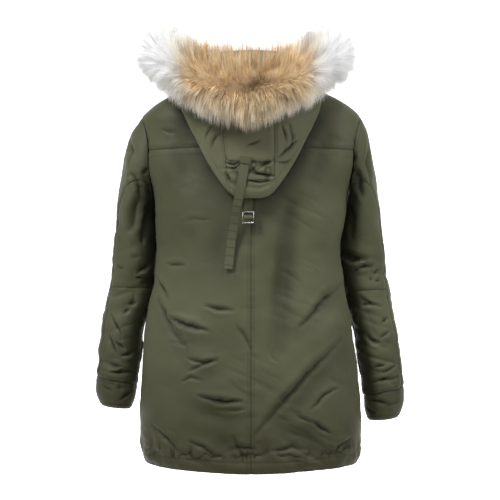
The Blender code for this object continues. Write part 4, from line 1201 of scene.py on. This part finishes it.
def hair_colours(turn, x, z):
    """Colour at the root, middle and tip of each hair, from where it ends: tan in the middle of the back,
    white at the sides and along the lower rim, dark in the parting from dark-brown hair and painted shade,
    and brown at the crown."""
    side = smooth_step((np.abs(x + 0.010) - 0.118) / 0.065)
    high_side = smooth_step((np.abs(x + 0.010) - 0.075) / 0.045)
    side = np.maximum(side, 0.9 * smooth_step((z - 0.074) / 0.034) * high_side)
    root = mixed([0.420, 0.270, 0.135], [0.98, 0.98, 0.99], side)
    middle = mixed([0.840, 0.610, 0.340], [1.00, 1.00, 1.00], side)
    tip = mixed([1.000, 0.880, 0.660], [1.00, 1.00, 1.00], side)
    rim = smooth_step((-turn - 20) / 50) * (0.42 + 0.45 * smooth_step((np.abs(x) - 0.015) / 0.075))
    tip = mixed(tip, [1.00, 0.98, 0.93], rim)
    middle = mixed(middle, [0.86, 0.76, 0.62], 0.4 * rim)
    root = mixed(root, [0.86, 0.78, 0.66], 0.7 * rim)
    # The parting: dark-brown hair, with painted shade where the hair parts.
    parting = bell(x - 0.006, 0.032) * bell(turn - 6 - 260 * x, 12)
    flecks = bell(np.abs(x + 0.003) - 0.120, 0.014) * bell(z - 0.106, 0.012) * 0.7
    gloom = np.maximum(parting * 0.95, flecks)
    middle = mixed(middle, [0.140, 0.085, 0.045], gloom)
    tip = mixed(tip, [0.220, 0.140, 0.075], 0.6 * gloom)
    crown = 0.75 * smooth_step((z - 0.046) / 0.022) * (1 - high_side)
    middle = mixed(middle, [0.500, 0.330, 0.175], crown)
    tip = mixed(tip, [0.620, 0.440, 0.250], crown)
    return root, middle, tip


def hair_place(angle, turn, share):
    """A spot in the ruff: share is 0 on its middle line and 1 at the reach of the hair."""
    at = FUR.at(np.abs(angle))
    swing = np.radians(turn)
    level = fur_out(angle) * (at.out * np.cos(swing) * share)[:, None]
    upper = UPPER_FUR + UPPER_FUR_BACK * bell(angle, 45)
    lift = np.where(np.sin(swing) > 0, 1 + upper * share**2, 1.0)
    level[:, 2] += at.up * np.sin(swing) * share * lift
    return fur_middle(angle) + level


def random_hairs(random, strands):
    """Where each hair starts and ends, in clumps, and how light it is. About half are longer guard hairs."""
    clump_angle = random.uniform(-FUR_END, FUR_END, CLUMPS)
    clump_turn = random.uniform(-165, 165, CLUMPS)
    clump_share = random.uniform(0.86, 1.07, CLUMPS)
    clump_tone = random.normal(0, 0.17, CLUMPS)
    pick = random.integers(0, CLUMPS, strands)
    spread_angle = random.normal(0, 2.3, strands)
    spread_turn = random.normal(0, 6.5, strands)
    guard = random.uniform(0, 1, strands) > 0.55
    longest = clump_share[pick] * random.uniform(0.92, 1.06, strands)
    reach = np.where(guard, longest, random.uniform(0.62, 0.92, strands))
    root_angle = np.clip(clump_angle[pick] + spread_angle, -FUR_END, FUR_END) * 0.96
    root_turn = (clump_turn[pick] + spread_turn) * 0.62 + random.normal(0, 6, strands)
    angle = clump_angle[pick] + spread_angle * np.where(guard, 0.55, 0.9)
    angle = angle + np.sign(angle) * 3.0 * np.abs(np.sin(np.radians(angle)))
    angle = np.clip(angle, -FUR_END, FUR_END)
    turn = clump_turn[pick] + spread_turn * np.where(guard, 0.45, 0.9)
    root = SimpleNamespace(angle=root_angle, turn=root_turn)
    return SimpleNamespace(root=root, angle=angle, turn=turn, reach=reach, guard=guard, tone=clump_tone[pick])


def build_fur(strands, parts):
    """Flat hairs of seven points, each bent out from its root and thinner to its tip, in several meshes."""
    random = np.random.default_rng(7)
    hair = random_hairs(random, strands)
    root = hair_place(hair.root.angle, hair.root.turn, np.full(strands, 0.34))
    tip = hair_place(hair.angle, hair.turn, np.minimum(hair.reach, FUR_REACH))
    middle_turn = hair.root.turn * 0.45 + hair.turn * 0.55
    bend = hair_place((hair.root.angle + hair.angle) / 2, middle_turn, hair.reach * 0.72)
    tip[:, 2] -= 0.004 * random.uniform(0, 1, strands)
    tip += random.normal(0, 0.0012, (strands, 3))
    steps = np.array([0.0, 0.4, 0.75, 1.0])[None, :, None]
    line = root[:, None] * (1 - steps) ** 2 + bend[:, None] * 2 * steps * (1 - steps)
    line = line + tip[:, None] * steps**2
    facing = unit(random.normal(0, 1, (strands, 3)))
    width = np.where(hair.guard, 0.00078, 0.00056) * random.uniform(0.7, 1.25, strands)
    half = unit(np.cross(unit(tip - root), facing)) * width[:, None] / 2
    halves = half[:, None] * np.array([1.0, 0.9, 0.62])[None, :, None]
    edges = np.stack([line[:, :3] - halves, line[:, :3] + halves], 2).reshape(strands, 6, 3)
    points = np.concatenate([edges, line[:, 3:]], 1)
    low, mid, high = hair_colours(hair.turn, tip[:, 0], tip[:, 2])
    tone = (1 + hair.tone + random.normal(0, 0.07, strands))[:, None]
    inner, outer = low * 0.25 + mid * 0.75, mid * 0.35 + high * 0.65
    shades = np.stack([low * 0.85] * 2 + [inner] * 2 + [outer] * 2 + [high], 1)
    colours = np.clip(shades * tone[:, None], 0, 1)
    for part in range(parts):
        mine = points[part::parts]
        base = np.arange(len(mine))[:, None] * 7
        quads = np.concatenate([base + np.array([0, 1, 3, 2]), base + np.array([2, 3, 5, 4])])
        ends = base + np.array([4, 5, 6])
        mesh = new_mesh(f"fur_{part}", mine, quads.tolist() + ends.tolist(), HAIR)
        paint(mesh, "shade", colours[part::parts])
        mesh.shade_smooth()
        place(f"fur_{part}", mesh, "fur_ruff", "raccoon_fur")
    build_undercoat()


def build_undercoat():
    """The dense short wool at the heart of the ruff."""
    angles = np.linspace(-FUR_END + 1, FUR_END - 1, 121)
    turns = np.linspace(0, 360, 49)[:-1]
    angle, turn = np.meshgrid(angles, turns, indexing="ij")
    points = hair_place(angle.ravel(), turn.ravel(), np.full(angle.size, 0.56)).reshape(*angle.shape, 3)
    outward = unit(points - points.mean(axis=1, keepdims=True))
    points += (noise(points, 0.008, 90) * 0.004)[..., None] * outward
    mesh = new_mesh("fur_under", points, tube_faces(*angle.shape), HAIR)
    turn = (turn + 180) % 360 - 180
    low, mid = hair_colours(turn.ravel(), points[..., 0].ravel(), points[..., 2].ravel())[:2]
    paint(mesh, "shade", low * 0.5 + mid * 0.5)
    mesh.shade_smooth()
    place("fur_under", mesh, "fur_ruff", "raccoon_fur")


def front_line(count):
    """The middle of the front from the collar's top down to the hem, and its outward way."""
    high = collar(np.full(12, 180.0), COLLAR_HEIGHT * (1 - np.linspace(0, 0.98, 12)))
    low = body_smooth(np.full(count, 180.0), np.linspace(NECK_LEVEL - 0.003, HEM_LEVEL + 0.006, count))
    line = np.concatenate([high, low])
    run = unit(np.gradient(line, axis=0))
    out = unit(np.stack([0 * run[:, 0], -run[:, 2], run[:, 1]], axis=-1))
    return line, out


def build_zip():
    """Two tapes, the chain's teeth, and the slider and pull tab."""
    line, out = front_line(170)
    across = np.tile([1.0, 0.0, 0.0], (len(line), 1))
    square = np.linspace(0, 2 * math.pi, 13)[:-1]
    profile = (TAPE_WIDTH / 2 * np.cos(square), TAPE_THICKNESS / 2 * np.sin(square))
    for name, side in (("zip_tape_left", -1), ("zip_tape_right", 1)):
        middle = line - out * 0.0055 + across * side * 0.0095
        mesh = band(name, middle, across, out, profile, WEBBING)
        place(name, mesh, name, "olive_webbing")
    build_teeth(line, out)
    for name in ("zip_slider", "zip_pull"):
        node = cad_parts[name]
        node.data.materials.clear()
        node.data.materials.append(METAL)


def build_teeth(line, out):
    length = lengths_along(line)
    corners = []
    for number, stop in enumerate(np.arange(0.002, length[-1], TOOTH_PITCH)):
        at = np.array([np.interp(stop, length, line[:, axis]) for axis in range(3)])
        away = np.array([np.interp(stop, length, out[:, axis]) for axis in range(3)])
        axes = np.stack([np.array([1.0, 0.0, 0.0]), away, np.cross(away, [1.0, 0.0, 0.0])])
        side = 1 if number % 2 else -1
        middle = at - away * 0.0014 + axes[0] * side * 0.0011
        corners.append(middle + (BOX_CORNERS * TOOTH) @ axes)
    place("zip_teeth", metal_boxes("zip_teeth", corners), "zip_chain", "zinc_metal")


# Materials.


def new_material(name, **settings):
    """A principled material. Each setting is one of its inputs, with _ for a space."""
    material = bpy.data.materials.new(name)
    material.use_nodes = True
    shader = material.node_tree.nodes["Principled BSDF"]
    for setting, value in settings.items():
        shader.inputs[setting.replace("_", " ")].default_value = value
    return material, material.node_tree.nodes, material.node_tree.links, shader


def cloth_material(name, light, dark, roughness, sheen, weave=0.25):
    """Woven nylon: slightly uneven colour, darker in its creases from painted shade, a fine weave and
    crumple, a soft sheen.
    """
    material, nodes, links, shader = new_material(
        name,
        Roughness=roughness,
        Specular_IOR_Level=0.18,
        Sheen_Weight=sheen,
        Sheen_Roughness=0.40,
        Sheen_Tint=(0.72, 0.74, 0.55, 1),
    )
    spot = nodes.new("ShaderNodeTexCoord")
    slow = texture(nodes, links, spot, 7, 4)
    spread = nodes.new("ShaderNodeMapRange")
    spread.inputs["From Min"].default_value = 0.36
    spread.inputs["From Max"].default_value = 0.64
    uneven = nodes.new("ShaderNodeMixRGB")
    uneven.inputs[1].default_value = (*dark, 1)
    uneven.inputs[2].default_value = (*light, 1)
    # The shade painted on each point of the cloth darkens its colour.
    tone = nodes.new("ShaderNodeAttribute")
    tone.attribute_name = "tone"
    shaded = nodes.new("ShaderNodeMixRGB")
    shaded.blend_type = "MULTIPLY"
    shaded.inputs["Fac"].default_value = 1.0
    links.new(slow.outputs["Fac"], spread.inputs["Value"])
    links.new(spread.outputs["Result"], uneven.inputs["Fac"])
    links.new(uneven.outputs["Color"], shaded.inputs[1])
    links.new(tone.outputs["Color"], shaded.inputs[2])
    links.new(shaded.outputs["Color"], shader.inputs["Base Color"])
    crumple = bump(nodes, links, texture(nodes, links, spot, 60, 5), 0.40, 0.0012)
    thread = bump(nodes, links, texture(nodes, links, spot, 1400, 2), weave, 0.0002)
    links.new(crumple.outputs["Normal"], thread.inputs["Normal"])
    links.new(thread.outputs["Normal"], shader.inputs["Normal"])
    return material


def texture(nodes, links, spot, scale, detail):
    node = nodes.new("ShaderNodeTexNoise")
    node.inputs["Scale"].default_value = scale
    node.inputs["Detail"].default_value = detail
    links.new(spot.outputs["Object"], node.inputs["Vector"])
    return node


def bump(nodes, links, height, strength, distance):
    node = nodes.new("ShaderNodeBump")
    node.inputs["Strength"].default_value = strength
    node.inputs["Distance"].default_value = distance
    links.new(height.outputs["Fac"], node.inputs["Height"])
    return node


def hair_material():
    """Hair lets light through, so its far side is bright too."""
    material, nodes, links, shader = new_material("hair", Roughness=0.55, Specular_IOR_Level=0.25)
    shade = nodes.new("ShaderNodeAttribute")
    shade.attribute_name = "shade"
    links.new(shade.outputs["Color"], shader.inputs["Base Color"])
    through = nodes.new("ShaderNodeBsdfTranslucent")
    links.new(shade.outputs["Color"], through.inputs["Color"])
    mix = nodes.new("ShaderNodeMixShader")
    mix.inputs["Fac"].default_value = 0.38
    links.new(shader.outputs["BSDF"], mix.inputs[1])
    links.new(through.outputs["BSDF"], mix.inputs[2])
    links.new(mix.outputs["Shader"], nodes["Material Output"].inputs["Surface"])
    return material


# Studio.


LAMPS = [
    # name, place, side of the square, watts
    ("key", (-1.9, -2.1, 2.1), 0.8, 104),
    ("top", (0.6, -1.3, 2.7), 0.9, 62),
    ("side", (2.7, -1.6, 0.9), 1.2, 36),
    ("front", (0.2, -4.2, 0.6), 1.4, 24),
]


def build_studio():
    bpy.context.scene.view_settings.view_transform = "Standard"
    world = bpy.data.worlds.new("studio")
    world.use_nodes = True
    world.node_tree.nodes["Background"].inputs["Color"].default_value = (1.0, 1.0, 1.0, 1)
    world.node_tree.nodes["Background"].inputs["Strength"].default_value = 0.16
    bpy.context.scene.world = world
    build_backdrop()
    for name, place_at, size, power in LAMPS:
        data = bpy.data.lights.new(name, "AREA")
        data.shape = "SQUARE"
        data.size = size
        data.energy = power
        aim = Vector((0.0, 0.0, -0.30)) - Vector(place_at)
        stand(name, data, place_at, aim.to_track_quat("-Z", "Y").to_euler())
    data = bpy.data.cameras.new("camera")
    data.lens = 103.8
    data.sensor_width = 36
    bpy.context.scene.camera = stand("camera", data, (-0.002, -3.2, -0.36), (math.pi / 2, 0, 0))


def stand(name, data, location=(0, 0, 0), rotation=(0, 0, 0)):
    obj = bpy.data.objects.new(name, data)
    obj.location = location
    obj.rotation_euler = rotation
    bpy.context.scene.collection.objects.link(obj)
    return obj


def build_backdrop():
    """A white floor that curves up into a wall."""
    profile = [(-1.0, -3.0), (6.0, -3.0)]
    profile += [(6.0 + math.sin(t), -2.0 - math.cos(t)) for t in np.linspace(0.1, math.pi / 2, 12)]
    profile.append((7.0, 6.0))
    points = [(x, y, z) for y, z in profile for x in (-9.0, 9.0)]
    faces = [(2 * i, 2 * i + 1, 2 * i + 3, 2 * i + 2) for i in range(len(profile) - 1)]
    paper = {"Base_Color": (0.92, 0.92, 0.92, 1), "Roughness": 1.0}
    white = new_material("backdrop", **paper, Emission_Color=(1, 1, 1, 1), Emission_Strength=0.95)[0]
    mesh = new_mesh("backdrop", points, faces, white)
    mesh.shade_smooth()
    stand("backdrop", mesh)


OLIVE = cloth_material("olive", (0.104, 0.108, 0.062), (0.080, 0.084, 0.046), 0.56, 0.06)
# Painted light: the hood's thinner cloth is a lighter copy of the same olive.
OLIVE_THIN_PAINTED_LIGHT = cloth_material("olive_thin_painted_light", (0.154, 0.157, 0.092), (0.121, 0.124, 0.072), 0.52, 0.08)
LINING = cloth_material("lining", (0.022, 0.022, 0.018), (0.016, 0.016, 0.013), 0.60, 0.1)
WEBBING = cloth_material("webbing", (0.118, 0.122, 0.072), (0.092, 0.096, 0.057), 0.62, 0.12, 0.6)
METAL = new_material("zinc", Base_Color=(0.42, 0.42, 0.41, 1), Metallic=1.0, Roughness=0.24)[0]
HAIR = hair_material()

build_body()
build_sleeve("right", 1, RIGHT_SLEEVE)
build_sleeve("left", -1, LEFT_SLEEVE)
build_collar()
build_hood()
build_long_strap()
build_short_strap()
build_buckle()
build_zip()
build_fur(100000, 4)
build_studio()
